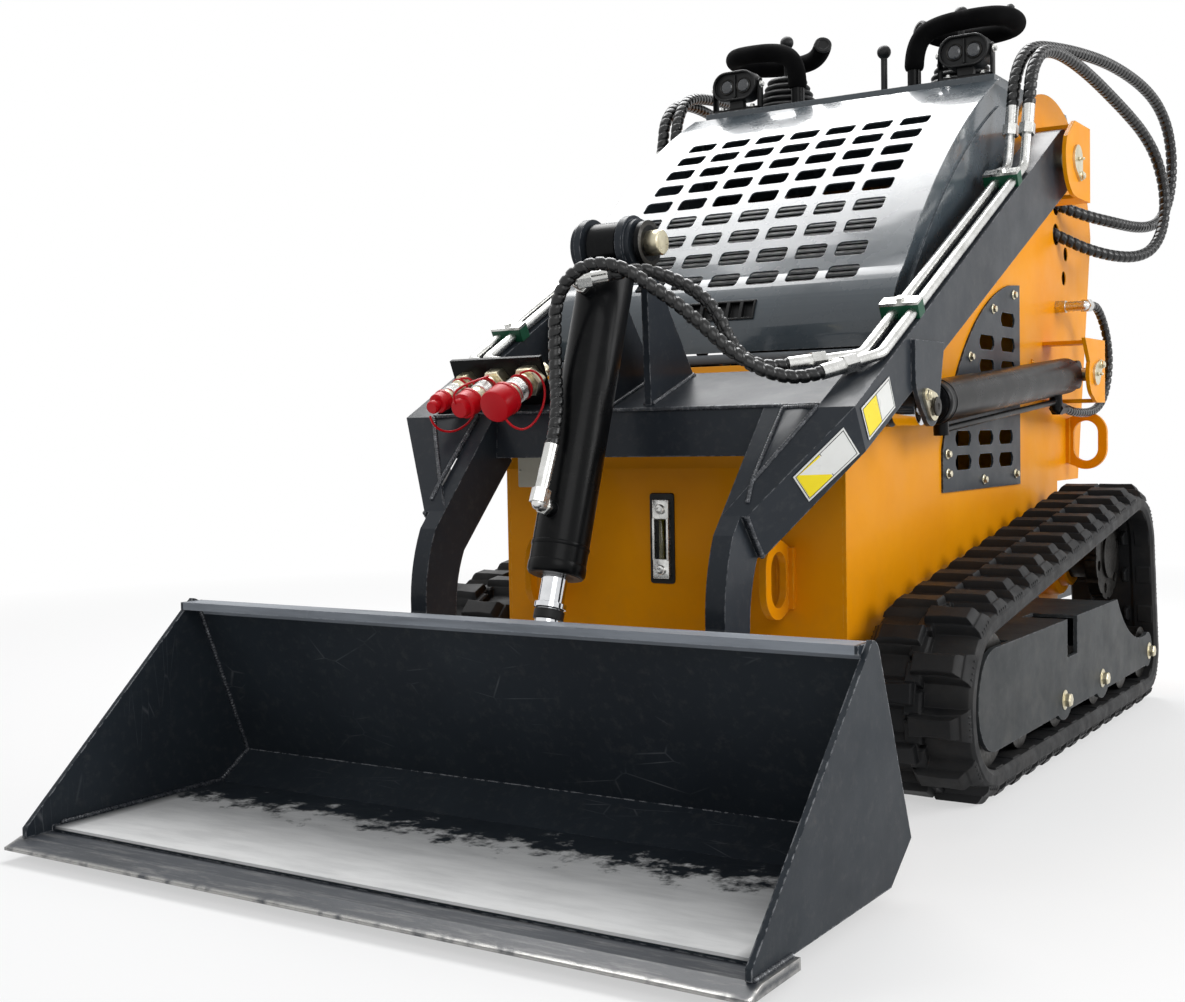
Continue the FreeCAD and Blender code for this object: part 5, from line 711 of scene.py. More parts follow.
def couplers():
    """Hexagon feet, stepped bodies with sliding rings, and moulded caps on their noses."""
    bodies, sleeves, caps, behind = Shape(), Shape(), Shape(), Shape()
    for x, radius, length, across, cap, collar, nose in COUPLERS:
        foot = coupler_point(x, 0)
        corners = [(cos(pi * k / 3) * across / 2 / cos(pi / 6),
                    sin(pi * k / 3) * across / 2 / cos(pi / 6)) for k in range(6)]
        bodies.rings([[coupler_point(x, along, a * lean, b * lean) for a, b in corners]
                      for along, lean in ((-1, 0.95), (1, 1), (20, 1), (22, 0.95))])
        body = [(0, 20), (0, 30), (2.5, 31), (2.5, 35), (0, 36), (-1.5, 40), (-1.5, 43), (0, 44),
                (0, length + NOSE)]
        knurls = [(more, along + 3.2 * k) for k in range(5)
                  for more, along in ((3, 49), (2, 50), (2, 51), (3, 51.8))]
        sleeve = [(0.5, 46), (3, 47.5), *knurls, (3, 66), (0.5, 67.5)]
        for shape, profile in ((bodies, body), (sleeves, sleeve)):
            shape.lathe(foot, COUPLER_WAY, [(radius + more, along) for more, along in profile], 40)
        caps.lathe(coupler_point(x, length + NOSE - 8), COUPLER_WAY,
                   [(radius + 0.5, -1), (cap + collar, -1), (cap + collar, 4), (cap, 5), *nose,
                    (0.4, 38)], 48)
        tail = coupler_point(x, -8)
        behind.lathe(tail, -COUPLER_WAY, [(15.5, 0), (17, 1.5), (17, 15), (15.5, 16.5)], 6)
        behind.lathe(tail, -COUPLER_WAY, [(12.5, 14), (13, 16), (13, 30), (11, 32)], 32)
    lead = bodies.piece("coupler_bodies", "zinc", "lift_arms", bevel=0.4)
    sleeves.piece("coupler_sleeves", "bright", "lift_arms")
    behind.piece("coupler_nuts", "zinc", "lift_arms")
    cover = caps.piece("coupler_dust_caps", "red", "lift_arms")
    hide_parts("aux_couplers")
    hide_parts("coupler_caps")


couplers()

# ------------------------ tracks
TRACK_INNER, TRACK_OUTER = 354, 534
TRACK_MIDDLE = (TRACK_INNER + TRACK_OUTER) / 2
BELT = 30
LUG_PITCH = 88
# centre (y, z) and belt radius: front idler, tail wheel, drive sprocket
WHEELS = (((1010, 165), 140), ((2025, 110), 85), ((1950, 325), 125))
# the belt's section, from its outer face's middle to its inner face's, as (x, height over the face)
HALF_SECTION = [(8, -1.5), (74, 0), (85, -2), (90, -8), (90, -22), (85, -BELT), (46, -BELT),
                (40, -26)]
# a lug's height, half length at its outer and at its inner end, and how far those ends step back
LUG_LEVELS = ((-5, 27, 25, -4.5, 0), (4, 24, 23, -2, 0), (12, 20.5, 20, 6, 1),
              (12.5, 18, 18, 9, 2), (22, 16.5, 17, 15, 3), (25.4, 14.5, 15.5, 19, 5))


def polar(centre, radius, angle):
    """The (y, z) point at a radius and an angle round a centre."""
    return centre[0] + radius * cos(angle), centre[1] + radius * sin(angle)


def belt_legs():
    """The loop's arcs (centre, radius, first angle, turn) and runs (start, angle, length, end)."""
    angles = []
    for (c1, r1), (c2, r2) in zip(WHEELS, WHEELS[1:] + WHEELS[:1]):
        dy, dz = c2[0] - c1[0], c2[1] - c1[1]
        angles.append(atan2(dz, dy) - pi / 2 - asin((r2 - r1) / hypot(dy, dz)))
    legs = []
    for i, (wheel, leave) in enumerate(zip(WHEELS, angles)):
        legs.append((*wheel, angles[i - 1], (leave - angles[i - 1]) % TURN, None))
        start, end = polar(*wheel, leave), polar(*WHEELS[(i + 1) % 3], leave)
        legs.append((start, 0, leave, dist(start, end), end))
    return legs


LEGS = belt_legs()
LOOP = sum(leg[1] * leg[3] if leg[4] is None else leg[3] for leg in LEGS)
LUGS = round(LOOP / LUG_PITCH)


def on_belt(distance):
    """The belt's outer face at a distance round the loop, as (y, z, its normal's angle)."""
    distance %= LOOP
    for start, radius, angle, span, end in LEGS:
        length = radius * span if end is None else span
        if distance <= length:
            share = distance / length
            if end is None:
                turn = angle + distance / radius
                return *polar(start, radius, turn), turn
            return *[a + (b - a) * share for a, b in zip(start, end)], angle
        distance -= length
    return on_belt(0)


def belt_point(distance, x, up, along=0):
    """A point at a distance round the loop, some way over the belt's face and along it."""
    y, z, angle = on_belt(distance)
    return place(x, y + up * cos(angle) - along * sin(angle),
                 z + up * sin(angle) + along * cos(angle))


def block(shape, at, levels):
    """A block on the belt; levels are (height, outline of (x, distance along))."""
    shape.rings([[belt_point(at, x, up, along) for x, along in outline] for up, outline in levels])


def lug(shape, at, low, high, outward):
    """A foot, waist and stepped crown, a step beside it, and ribs out to the belt's edge."""
    edge, inner = (high, low) if outward > 0 else (low, high)
    levels = []
    for up, half_edge, half_inner, back, front in LUG_LEVELS:
        xe, xi = edge - outward * back, inner + outward * front
        xm = xe + (xi - xe) * 0.45
        waist = (half_edge + half_inner) / 2 - (2.5 if up > 5 else 0.5)
        levels.append((up, ((xe, -half_edge), (xm, -waist), (xi, -half_inner),
                            (xi, half_inner), (xm, waist), (xe, half_edge))))
    block(shape, at, levels)
    near, far = TRACK_MIDDLE - outward * 16, TRACK_MIDDLE + outward * 14
    block(shape, at, [(up, [(x + (TRACK_MIDDLE - x) * lean, along - (along - 14) * lean)
                            for x, along in ((near, -6), (near, 34), (far, 34), (far, -6))])
                      for up, lean in ((-4, 0), (9, 0.05), (13, 0.25))])
    foot = edge + outward * 4.5
    heel = foot - outward * 13
    for along in (-15, -5, 5, 15):
        rib = (foot, along - 1.3), (heel, along - 2.2), (heel, along + 2.2), (foot, along + 1.3)
        block(shape, at, [(up, rib) for up in (-6, 1.4)])


def belt(side, sign):
    """Rubber belt with its staggered lugs outside and its drive teeth inside."""
    steps, pitch = LUGS * 8, LOOP / LUGS
    mirrored = [(-x, up) for x, up in reversed(HALF_SECTION)]
    section = mirrored[4:] + HALF_SECTION + mirrored[:4]
    rows = []
    for i in range(steps):
        lift = 1.2 if i % 8 in (0, 1, 7) else 0
        rows.append([belt_point(LOOP * i / steps, TRACK_MIDDLE + x, up + (lift if up > -9 else 0))
                     for x, up in section])
    shape = Shape().rings(rows, loop=True)
    for i in range(LUGS):
        lug(shape, i * pitch, TRACK_INNER + 6, TRACK_MIDDLE + 6, -1)
        lug(shape, (i + 0.5) * pitch, TRACK_MIDDLE - 6, TRACK_OUTER - 6, 1)
        for low, high in ((-25, -9), (25, 36)):
            block(shape, i * pitch, [
                (up, oblong(TRACK_MIDDLE + low + lean, TRACK_MIDDLE + high - lean, half))
                for up, half, lean in ((-24, 16, 0), (-40, 13, 1.5), (-45, 9, 3))])
        for x in (TRACK_INNER + 22, TRACK_OUTER - 22):
            block(shape, i * pitch, [(up, oblong(x - 15, x + 15, half))
                                     for up, half in ((-29, 20), (-31.5, 17))])
    shape.points = [Vector((sign * p.x, p.y, p.z)) for p in shape.points]
    piece = shape.piece("belt_" + side, "rubber", smooth=30)
    soften = piece.modifiers.new("soft_edges", "BEVEL")
    soften.width, soften.segments = 1.6 * MM, 2
    soften.limit_method, soften.angle_limit = "ANGLE", radians(38)
    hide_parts("track_" + side)


for side, sign in SIDES:
    belt(side, sign)

# ------------------------ operator's end
CONSOLE_TOP = 1300
HANDLE_POST = (133, 1711)
HANDLE_LINE = ((0, 0, 45), (0, 0, 92), (36, 3.3, 130.4), (149, 13.7, 137.6), (185, 53, 139),
               (185, 115, 137), (149, 151, 134.2), (55, 151, 129.7), (3.5, 127, 137.3),
               (-21, 89, 152))
HANDLE_RADIUS = 20
POST = ((34, 0), (34, 4.6), (33, 6), (17, 6), (14.6, 8.4), (14, 11), (14, 47))
HANDLE_CAP = ((17, 0), (19.2, 1.2), (19.2, 3.6), (17.5, 5.2), (12.5, 5.6), (10, 3.2), (0.5, 3))
THUMB_SWITCH = ((9, 0), (9, 5), (7.6, 6.6), (6.2, 7), (6.2, 8.4), (4.6, 9.6), (0.4, 9.8))
BOOT = (202, 1805)
BOOT_FOLDS, BOOT_HEIGHT = 6, 90
LAMP = (258, 1671, 1356)
# a lamp's two eyes lie this far from its middle
LAMP_EYE, LAMP_RADIUS = 20, 29.3
RIM_SEAT, LAMP_FACE = 19.4, 12
# a lamp bracket's plate, its arms and its bolts, from the lamp's middle, and its top's height
BRACKET_HALF, BRACKET_ARM, BRACKET_BOLT, BRACKET_TOP = 56, 52.5, 36, 8.5
RIM_SECTION = ((-2.6, -1), (-2, 1.6), (-0.4, 2.6), (1.6, 2.2), (2.7, 0.6), (2.7, -2))
REFLECTOR = ((15.4, -1.5), (16.8, 0.2), (16.8, 2.2), (15.6, 3), (14.4, 2.2), (11, -3),
             (5, -7), (4, -7))
BULB = ((3.6, -7.2), (3.6, -4.6), (2.6, -3.8), (0.3, -3.6))
LENS = ((14.6, 0.6), (14.6, 1.8), (12.5, 3.6), (8.5, 5), (4, 5.8), (0.4, 6))
# the console's sloping panel: its lower and upper edge, and how far its face lies behind them
PANEL_LOW, PANEL_HIGH, PANEL_DEPTH = (2230, 1210), (2150, 1300), 4.4
# its fittings' places across it, and its screws' places across and up it
GAUGE_X, ROCKERS_X, KEY_X, KNOB_X = 110, (-20, 10, 40), -75, -130
SCREW_X, SCREW_RISE = 186, 34
# its round fittings
GAUGE = ((31, 0), (31, 5), (29.5, 6.6), (27, 6.8), (26, 4.6), (0.5, 4.4))
KEY = ((15, 0), (15, 3), (13.5, 4.5), (9, 5), (9, 9), (7.5, 10.5), (0.5, 10.6))
KNOB = ((20, 0), (20, 2.5), (18.5, 4), (13, 4.2), (12.4, 6), (12, 14), (10, 16), (0.5, 16.2))
SCREW = ((5, 0), (5, 1.6), (3.8, 2.8), (0.4, 3.1))
# the platform's anti-slip bars: how many, the first one's place, and their pitch
TREAD_ROWS, TREAD_COLUMNS = 14, 22
TREAD_START, TREAD_PITCH = (-246, 2262, 215), (23.4, 21)


def handle(side, sign):
    """Foam loop on its bare post, with a welded foot, an end ring and a thumb switch."""
    px, py = HANDLE_POST
    line = smooth_line([place(sign * (px + x), py + y, CONSOLE_TOP + z)
                        for x, y, z in HANDLE_LINE], 4)

    def foam(i, share):
        return HANDLE_RADIUS - (2.6, 0.9, 0)[min(i, len(line) - 1 - i, 2)]
    loop = Shape().sweep(line, foam, 32).piece("handle_foam_" + side, "foam")
    foot = place(sign * px, py, CONSOLE_TOP)
    post = Shape().lathe(foot, Z, POST, 40)
    for angle in (radians(90), radians(210), radians(330)):
        post.bolt(move(foot, (Vector((cos(angle), sin(angle), 0)), 25.5), (Z, 6)), Z, 8, 4)
    for piece in (loop, post.piece("handle_post_" + side, "black")):
        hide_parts("grab_handles")
    way = (line[-1] - line[-3]).normalized()
    turned("handle_cap_" + side, "plastic", move(line[-1], (way, -2)), way, HANDLE_CAP, sides=36)
    top = line[round(len(line) * 0.47)]
    turned("handle_switch_" + side, "plastic", move(top, (Z, 17)), Z, THUMB_SWITCH, sides=24)


def lever_boot(side, sign):
    """Bellows with round folds, tapering to the lever."""
    profile = [(0.5, 0), (78.5, 0), (79, 2.5), (76, 4)]
    for share in [k / (BOOT_FOLDS * 8) for k in range(1, BOOT_FOLDS * 8)]:
        swell = abs(sin(pi * share * BOOT_FOLDS)) ** 0.8
        profile.append((71 - 35.5 * share + 8 * swell * (1 - 0.25 * share),
                        3 + (BOOT_HEIGHT - 3) * share))
    crown = ((33, 0.6), (20, 0), (9, 0), (7.2, 2))
    profile += [(radius, BOOT_HEIGHT - below) for radius, below in crown]
    foot = place(sign * BOOT[0], BOOT[1], CONSOLE_TOP)
    boot = turned("bellows_" + side, "boot", foot, Z, profile, smooth=50)
    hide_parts("lever_boots")


def lamp(side, sign):
    """Rim, lenses, divider, bracket and bolts on the lamp's housing."""
    x, y, z = sign * LAMP[0], LAMP[1], LAMP[2]
    rows = []
    for angle in [TURN * k / 64 for k in range(64)]:
        eye = x + (LAMP_EYE if cos(angle) > 0 else -LAMP_EYE)
        point = place(eye + LAMP_RADIUS * cos(angle), y - RIM_SEAT, z + LAMP_RADIUS * sin(angle))
        out = (point - place(eye, y - RIM_SEAT, z)).normalized()
        rows.append([move(point, (out, a), (Y, -b)) for a, b in RIM_SECTION])
    rim = Shape().rings(rows, loop=True)
    rim.rings([[place(x + dx, y - LAMP_FACE - dy, z + dz) for dx, dz in oblong(-half, half, 24)]
               for dy, half in ((-0.5, 2.6), (4.5, 2.2), (5.6, 1.2))])
    rim.piece("lamp_rim_" + side, "plastic")
    reflector, lens, bracket, bolts = Shape(), Shape(), Shape(), Shape()
    for eye in (x - LAMP_EYE, x + LAMP_EYE):
        at = place(eye, y - LAMP_FACE - 0.2, z)
        reflector.lathe(at, -Y, REFLECTOR, 40).lathe(at, -Y, BULB, 24)
        lens.lathe(at, -Y, LENS, 40)
    reflector.piece("lamp_reflectors_" + side, "worn", slot="")
    lens.piece("lamp_lenses_" + side, "lens", smooth=60)
    for end in (-1, 1):
        levels = (CONSOLE_TOP + 5, 12), (z - 6, 12), (z + 8, 9), (z + 13, 4)
        bracket.rings([[place(x + end * (BRACKET_ARM + dx), y + dy, up)
                        for dx, dy in oblong(0, 3.5, half)] for up, half in levels])
    bracket.rings([[place(x + dx, y + dy, CONSOLE_TOP + up)
                    for dx, dy in oblong(-BRACKET_HALF, BRACKET_HALF, 12)]
                   for up in (5, BRACKET_TOP)])
    bracket.piece("lamp_bracket_" + side, "black", bevel=0.8)
    for end in (-1, 1):
        bolts.bolt(place(x + end * BRACKET_HALF, y, z), X * end, 10, 5)
        bolts.bolt(place(x + end * BRACKET_BOLT, y - 2, CONSOLE_TOP + BRACKET_TOP), Z, 10, 5)
    bolts.piece("lamp_bolts_" + side, "bright")


for side, sign in SIDES:
    handle(side, sign)
    lever_boot(side, sign)
    lamp(side, sign)


def console_fittings():
    """A round gauge, rocker switches, a key, a knob and the panel's screws."""
    low, high = place(0, *PANEL_LOW), place(0, *PANEL_HIGH)
    up = (high - low).normalized()
    out = up.cross(X).normalized()
    middle = move((low + high) / 2, (out, -PANEL_DEPTH))
    dark, bright = Shape(), Shape()
    gauge = move(middle, (X, GAUGE_X))
    dark.lathe(gauge, out, GAUGE, 48)
    face = Shape().rings([[gauge + out * (4.7 * MM) + (X * cos(a) * r + up * sin(a) * r) * MM
                           for a in [TURN * k / 40 for k in range(40)]] for r in (25.5, 0.5)])
    dial = move(gauge, (out, 4.8))
    for angle, corners, thickness, lip in (
            *((radians(-40 + 32.5 * k), oblong(19, 24, 0.7), 0.5, 0.1) for k in range(9)),
            (2.2, ((-4, -1.4), (18, -0.4), (18, 0.4), (-4, 1.4)), 1.2, 0.3)):
        way = X * cos(angle) + up * sin(angle)
        dark.plate(on_plane(dial, way, out.cross(way), corners), out, thickness, lip)
    for x in ROCKERS_X:
        at = move(middle, (X, x))
        dark.plate(patch(at, X, up, 11, 19, 3), out, 3.5, 1.2)
        dark.plate(patch(move(at, (up, 4)), X, up, 8, 11, 2), out, 6.5, 2.2)
    key = move(middle, (X, KEY_X))
    bright.lathe(key, out, KEY, 36)
    dark.plate(on_plane(move(key, (out, 10)), X, up, oblong(-1.6, 1.6, 8)), out, 16, 1)
    dark.lathe(move(middle, (X, KNOB_X)), out, KNOB, 36)
    for x in (-SCREW_X, SCREW_X):
        for rise in (-SCREW_RISE, SCREW_RISE):
            bright.lathe(move(middle, (X, x), (up, rise)), out, SCREW, 20)
    dark.piece("console_controls", "plastic")
    bright.piece("console_key_and_screws", "bright")
    face.piece("gauge_face", "white_film")


def platform_tread():
    """Raised anti-slip bars on the deck, in the usual two-way pattern."""
    shape = Shape()
    x, y, z = TREAD_START
    for row in range(TREAD_ROWS):
        for column in range(TREAD_COLUMNS):
            at = place(x + TREAD_PITCH[0] * column, y + TREAD_PITCH[1] * row, z)
            way = radians(45 if (row + column) % 2 else -45)
            along, across = Vector((cos(way), sin(way), 0)), Vector((-sin(way), cos(way), 0))
            levels = []
            for up, tip, half in ((-0.3, 10, 2.6), (1.3, 8.6, 1.5)):
                bar = ((-tip, 0), (-tip * 0.6, -half), (tip * 0.6, -half),
                       (tip, 0), (tip * 0.6, half), (-tip * 0.6, half))
                levels.append([move(point, (Z, up)) for point in on_plane(at, along, across, bar)])
            shape.rings(levels)
    shape.piece("platform_tread", "frame", "platform")


console_fittings()
platform_tread()

# ------------------------ arms, cylinders and body
VENT_FACE, FRAME_FACE = 334, 528
LIFT_LINE, TILT_CHEEK = 390, 60
ARM_PIVOT = (1790, 1138)
LIFT_REAR, LIFT_FRONT = (1930, 708), (1000, 635)
TILT_TOP, TILT_FOOT = (722, 899), (500, 260)
VENT_BOLTS = ((1335, 516), (1536, 499), (1735, 504), (1742, 690), (1728, 868), (1598, 832),
              (1462, 734), (1332, 552))
FRAME_BOLTS = ((1394, 106), (1654, 108), (2038, 112))
# the pins' keepers: their faces, and how far their screws sit from the pin
CHASSIS_KEEPER, ARM_KEEPER, KEEPER_REACH = 450, 433, 36
LIFT_PIN_END, MOTOR_SEAT = 437, 329
KNEE_PLATE = ((288, 634, 527), (360, 708, 634), (288, 742, 635))
NIPPLE = ((4.5, 0), (4.5, 2), (2.6, 3), (2.6, 7), (3.4, 8), (1.8, 10.5), (0.3, 11))
PIN_END = ((15.5, -1), (15.5, 1.6), (14, 2.4), (6, 2.4), (4.5, 0.8), (0.3, 0.8))
ROD_COLLAR = ((19.2, 30), (24, 32), (24, 44), (21, 48), (18.4, 49))
DRUM = ((90, 0), (90, 34), (86, 40), (70, 42), (68, 58), (64, 62), (40, 62))
# each barrel's line and gland, as (radius, distance from the barrel's foot)
LIFT_GLAND = (((37.6, 806), (38.6, 807.5), (38.6, 811), (37.6, 812.5)),
              ((37.5, 826), (38.5, 828), (38.5, 838), (36.5, 842), (24, 843), (19, 843)))
TILT_GLAND = (((44.2, 494), (45.2, 496), (45.2, 499), (44.2, 501)),
              ((44, 524), (45, 527), (45, 538), (42, 543), (28, 544), (21, 544)))
ROD_BAND = ((20.4, 596), (23.2, 597.5), (23.2, 611), (20.4, 612))
ROD_RING = ((20.4, 585), (24.6, 586.5), (24.6, 594), (20.4, 595.5))
PIN_DISC = ((34, 0), (36, 1.5), (36, 9), (34.5, 10.5), (16, 10.8))
DISC_RIM = ((35.6, 9.2), (36.4, 9.4), (36.4, 10.2), (35.6, 10.6))
PIN_HEAD = ((19.5, 9.5), (20, 11), (20, 32), (18.4, 34), (0.5, 34.4))
PIN_TAIL = ((16, 4), (16, 8.5), (14, 10), (0.5, 10.4))
PORT_NUT = ((0.5, -0.5), (13.5, -0.5), (14.2, 0.4), (14.2, 8), (13.2, 9), (0.5, 9))
HOSE_NUT = ((0.5, 9), (12.6, 9), (13.4, 10), (13.4, 21), (12.6, 22), (0.5, 22))
# the ports' distances along the tilt barrel, and how far their seats and knees stand off its line
LOW_PORT, HIGH_PORT, PORT_SEAT, PORT_KNEE = 450, 92, 56, 76
# the tilt bracket's gussets stand on a slope that starts here and rises by this share
GUSSETS, GUSSET_SEAM = (31, 45, -31, -45), (766, 810, 860, 904)
SLOPE_START, SLOPE_RISE = (750, 641), 60 / 165
CROSS_SEAM = (-345, -100, 100, 345)
# a side's weld seams: piece, look, body, slot, and (bead's radius, its points) of each
SIDE_SEAMS = (
    ("arm_welds_", "weld_dark", "lift_arms", None, (
        (4.2, ((288.5, 741, 634), (288.5, 690, 584), (289, 634, 527), (292, 612, 496))),
        (4.2, ((290, 634, 527), (325, 671, 580), (359, 707, 633))),
        (4.2, ((360, 708, 634.5), (325, 727, 635), (290, 742, 635))),
        (4.2, ((297, 599, 477), (296, 625, 445), (296, 651, 415))),
        (4.2, ((287, 760, 588), (287, 775, 610), (287, 790, 634))))),
    ("bucket_welds_", "weld_dark", "bucket", "black_paint", (
        (4.5, ((580, 84, 39.5), (580, 402, 39.5), (580, 465, 80), (580, 364, 336))),
        (4, ((590, 26, 31), (590, 60, 30.5), (590, 118, 30.5))))),
    ("body_welds_", "weld_yellow", "chassis", None, (
        (3.6, ((331, 1715, 1128), (331, 1715, 1178))),
        (3.6, ((331, 1862, 668), (331, 1862, 742))))),
)
# the blank two-colour films on the arm's side and on its knee: corners and the way each faces
FILMS = ((((420, 727, 631), (420, 836, 680), (420, 860, 633), (420, 756, 584)), (1, 0, 0)),
         (((347, 648, 533), (404, 700, 604), (413, 737, 565), (354, 687, 496)),
          (0.82, -0.47, -0.33)))
# their layers: piece, look, height, thickness, lip, and the fields' sides as shares
FILM_LAYERS = (
    ("white_", "white_film", 0, 0.5, 0.1, ((0, 0, 1, 1),)),
    ("yellow_", "yellow_film", 0.4, 0.35, 0.1, ((0.04, 0.08, 0.49, 0.92),)),
    ("border_", "plastic", 0.45, 0.3, 0.02, (
        (0.03, 0.06, 0.97, 0.08), (0.03, 0.92, 0.97, 0.94), (0.025, 0.06, 0.035, 0.94),
        (0.965, 0.06, 0.975, 0.94), (0.5, 0.06, 0.51, 0.94))),
)


def line_way(start, end):
    """The direction from one (y, z) point to another."""
    return Vector((0, end[0] - start[0], end[1] - start[1])).normalized()


def side_bolts(side, sign):
    """Bolts, keepers' screws, grease nipples and the lift pin's end."""
    out = X * sign
    bolts = Shape()
    for y, z in VENT_BOLTS:
        bolts.bolt(place(sign * VENT_FACE, y, z), out, 12, 6)
    for y, z in FRAME_BOLTS:
        bolts.bolt(place(sign * FRAME_FACE, y, z), out, 22, 11)
    for pin, degrees in ((ARM_PIVOT, -60), (LIFT_REAR, 35)):
        screw = polar(pin, KEEPER_REACH, radians(degrees))
        bolts.bolt(place(sign * CHASSIS_KEEPER, *screw), out, 11, 6)
        bolts.lathe(place(sign * (CHASSIS_KEEPER + 1), *pin), out, NIPPLE, 20)
    bolts.piece("bolts_chassis_" + side, "zinc")
    keeper = place(sign * ARM_KEEPER, *polar(LIFT_FRONT, KEEPER_REACH, radians(150)))
    Shape().bolt(keeper, out, 11, 6).piece("bolts_arm_" + side, "zinc", "lift_arms")
    turned("lift_pin_end_" + side, "worn", place(sign * LIFT_PIN_END, *LIFT_FRONT), out, PIN_END,
           sides=40, body="lift_arms")


def side_welds(side, sign):
    """The knee's plate and the weld seams."""
    corners = [place(sign * x, y, z) for x, y, z in KNEE_PLATE]
    face = (corners[1] - corners[0]).cross(corners[2] - corners[0]).normalized()
    back = face if face.y > 0 else -face
    plate = Shape().rings([[move(corner, (back, 7)) for corner in corners], corners])
    plate.piece("knee_plate_" + side, "dark", "lift_arms", bevel=0.8)
    for name, look, body, slot, seams in SIDE_SEAMS:
        shape = Shape()
        for radius, route in seams:
            shape.bead([place(sign * x, y, z) for x, y, z in route], radius)
        shape.piece(name + side, look, body, smooth=80, slot=slot)


def side_films(side, sign):
    """The blank films, one piece for each layer."""
    for name, look, height, thickness, lip, fields in FILM_LAYERS:
        shape = Shape()
        for corners, (x, y, z) in FILMS:
            way = Vector((sign * x, y, z)).normalized()
            a, b, c, d = [move(place(sign * x, y, z), (way, 0.9)) for x, y, z in corners]
            for left, low, right, high in fields:
                shape.plate([move(a.lerp(b, u).lerp(d.lerp(c, u), v), (way, height))
                             for u, v in ((left, low), (right, low), (right, high), (left, high))],
                            way, thickness, lip)
        shape.piece("blank_film_" + name + side, look, "lift_arms")


def side_cylinder(side, sign):
    """Gland and dust wiper at the barrel's end, a collar on the rod, the drive motor's drum."""
    way = line_way(LIFT_REAR, LIFT_FRONT)
    rear, front = place(sign * LIFT_LINE, *LIFT_REAR), place(sign * LIFT_LINE, *LIFT_FRONT)
    turned("lift_gland_" + side, "black", rear, way, *LIFT_GLAND, body="lift_barrel_" + side)
    turned("lift_rod_collar_" + side, "chrome", front, -way, ROD_COLLAR, body="lift_rod_" + side)
    sprocket = place(sign * MOTOR_SEAT, *WHEELS[2][0])
    turned("drive_motor_" + side, "yellow", sprocket, X * sign, DRUM, sides=64)


for side, sign in SIDES:
    side_bolts(side, sign)
    side_welds(side, sign)
    side_films(side, sign)
    side_cylinder(side, sign)


def tilt_details():
    """The tilt cylinder's rings, port nuts, pin and bracket welds."""
    way, top = line_way(TILT_TOP, TILT_FOOT), place(0, *TILT_TOP)
    left, right = place(TILT_CHEEK, *TILT_TOP), place(-TILT_CHEEK, *TILT_TOP)
    turned("tilt_gland", "black", top, way, *TILT_GLAND, sides=56, body="tilt_barrel")
    turned("tilt_rod_band", "plastic", top, way, ROD_BAND, body="tilt_rod")
    turned("tilt_rod_ring", "chrome", top, way, ROD_RING, body="tilt_rod")
    nuts, front = Shape(), way.cross(X).normalized()
    front = front if front.y < 0 else -front
    for station, hose in ((LOW_PORT, TILT_LOWER[-1]), (HIGH_PORT, TILT_UPPER[-1])):
        port = move(top, (way, station), (front, PORT_SEAT))
        knee = move(port, (front, PORT_KNEE - PORT_SEAT))
        nuts.lathe(port, front, PORT_NUT, 6)
        nuts.lathe(knee, (place(*hose) - knee).normalized(), HOSE_NUT, 6)
    nuts.piece("tilt_port_nuts", "bright", "tilt_barrel")
    turned("tilt_pin_disc", "black", left, X, PIN_DISC, body="lift_arms")
    turned("tilt_pin_rim", "worn", left, X, DISC_RIM, body="lift_arms")
    heads = Shape().lathe(left, X, PIN_HEAD, 48).lathe(right, -X, PIN_TAIL, 40)
    heads.piece("tilt_pin_heads", "zinc", "lift_arms")
    seams = Shape()
    for x in GUSSETS:
        seams.bead([place(x, y, SLOPE_START[1] + (y - SLOPE_START[0]) * SLOPE_RISE)
                    for y in GUSSET_SEAM], 4.5)
    seams.bead([place(x, 746, 638.5) for x in CROSS_SEAM], 3.2)
    seams.piece("bracket_welds", "weld_dark", "lift_arms", smooth=80)


tilt_details()

# ------------------------ hood
HOOD_KNEE, HOOD_MID, HOOD_TOP = (1109, 878), (1365, 1125), (1624, 1283)
SLOT_START, SLOT_PITCH, SLOT_PITCH_X = 192, 59.5, 77
SLOT_ROWS, SLOT_COLUMNS = 9, 7
SLOT_HALF, SLOT_CORNER = (29, 18), 8


def circle_through(a, b, c):
    """Centre and radius of the circle through three (y, z) points."""
    (ay, az), (by, bz), (cy, cz) = a, b, c
    d = 2 * (ay * (bz - cz) + by * (cz - az) + cy * (az - bz))
    sa, sb, sc = ay * ay + az * az, by * by + bz * bz, cy * cy + cz * cz
    centre = ((sa * (bz - cz) + sb * (cz - az) + sc * (az - bz)) / d,
              (sa * (cy - by) + sb * (ay - cy) + sc * (by - ay)) / d)
    return centre, dist(centre, a)


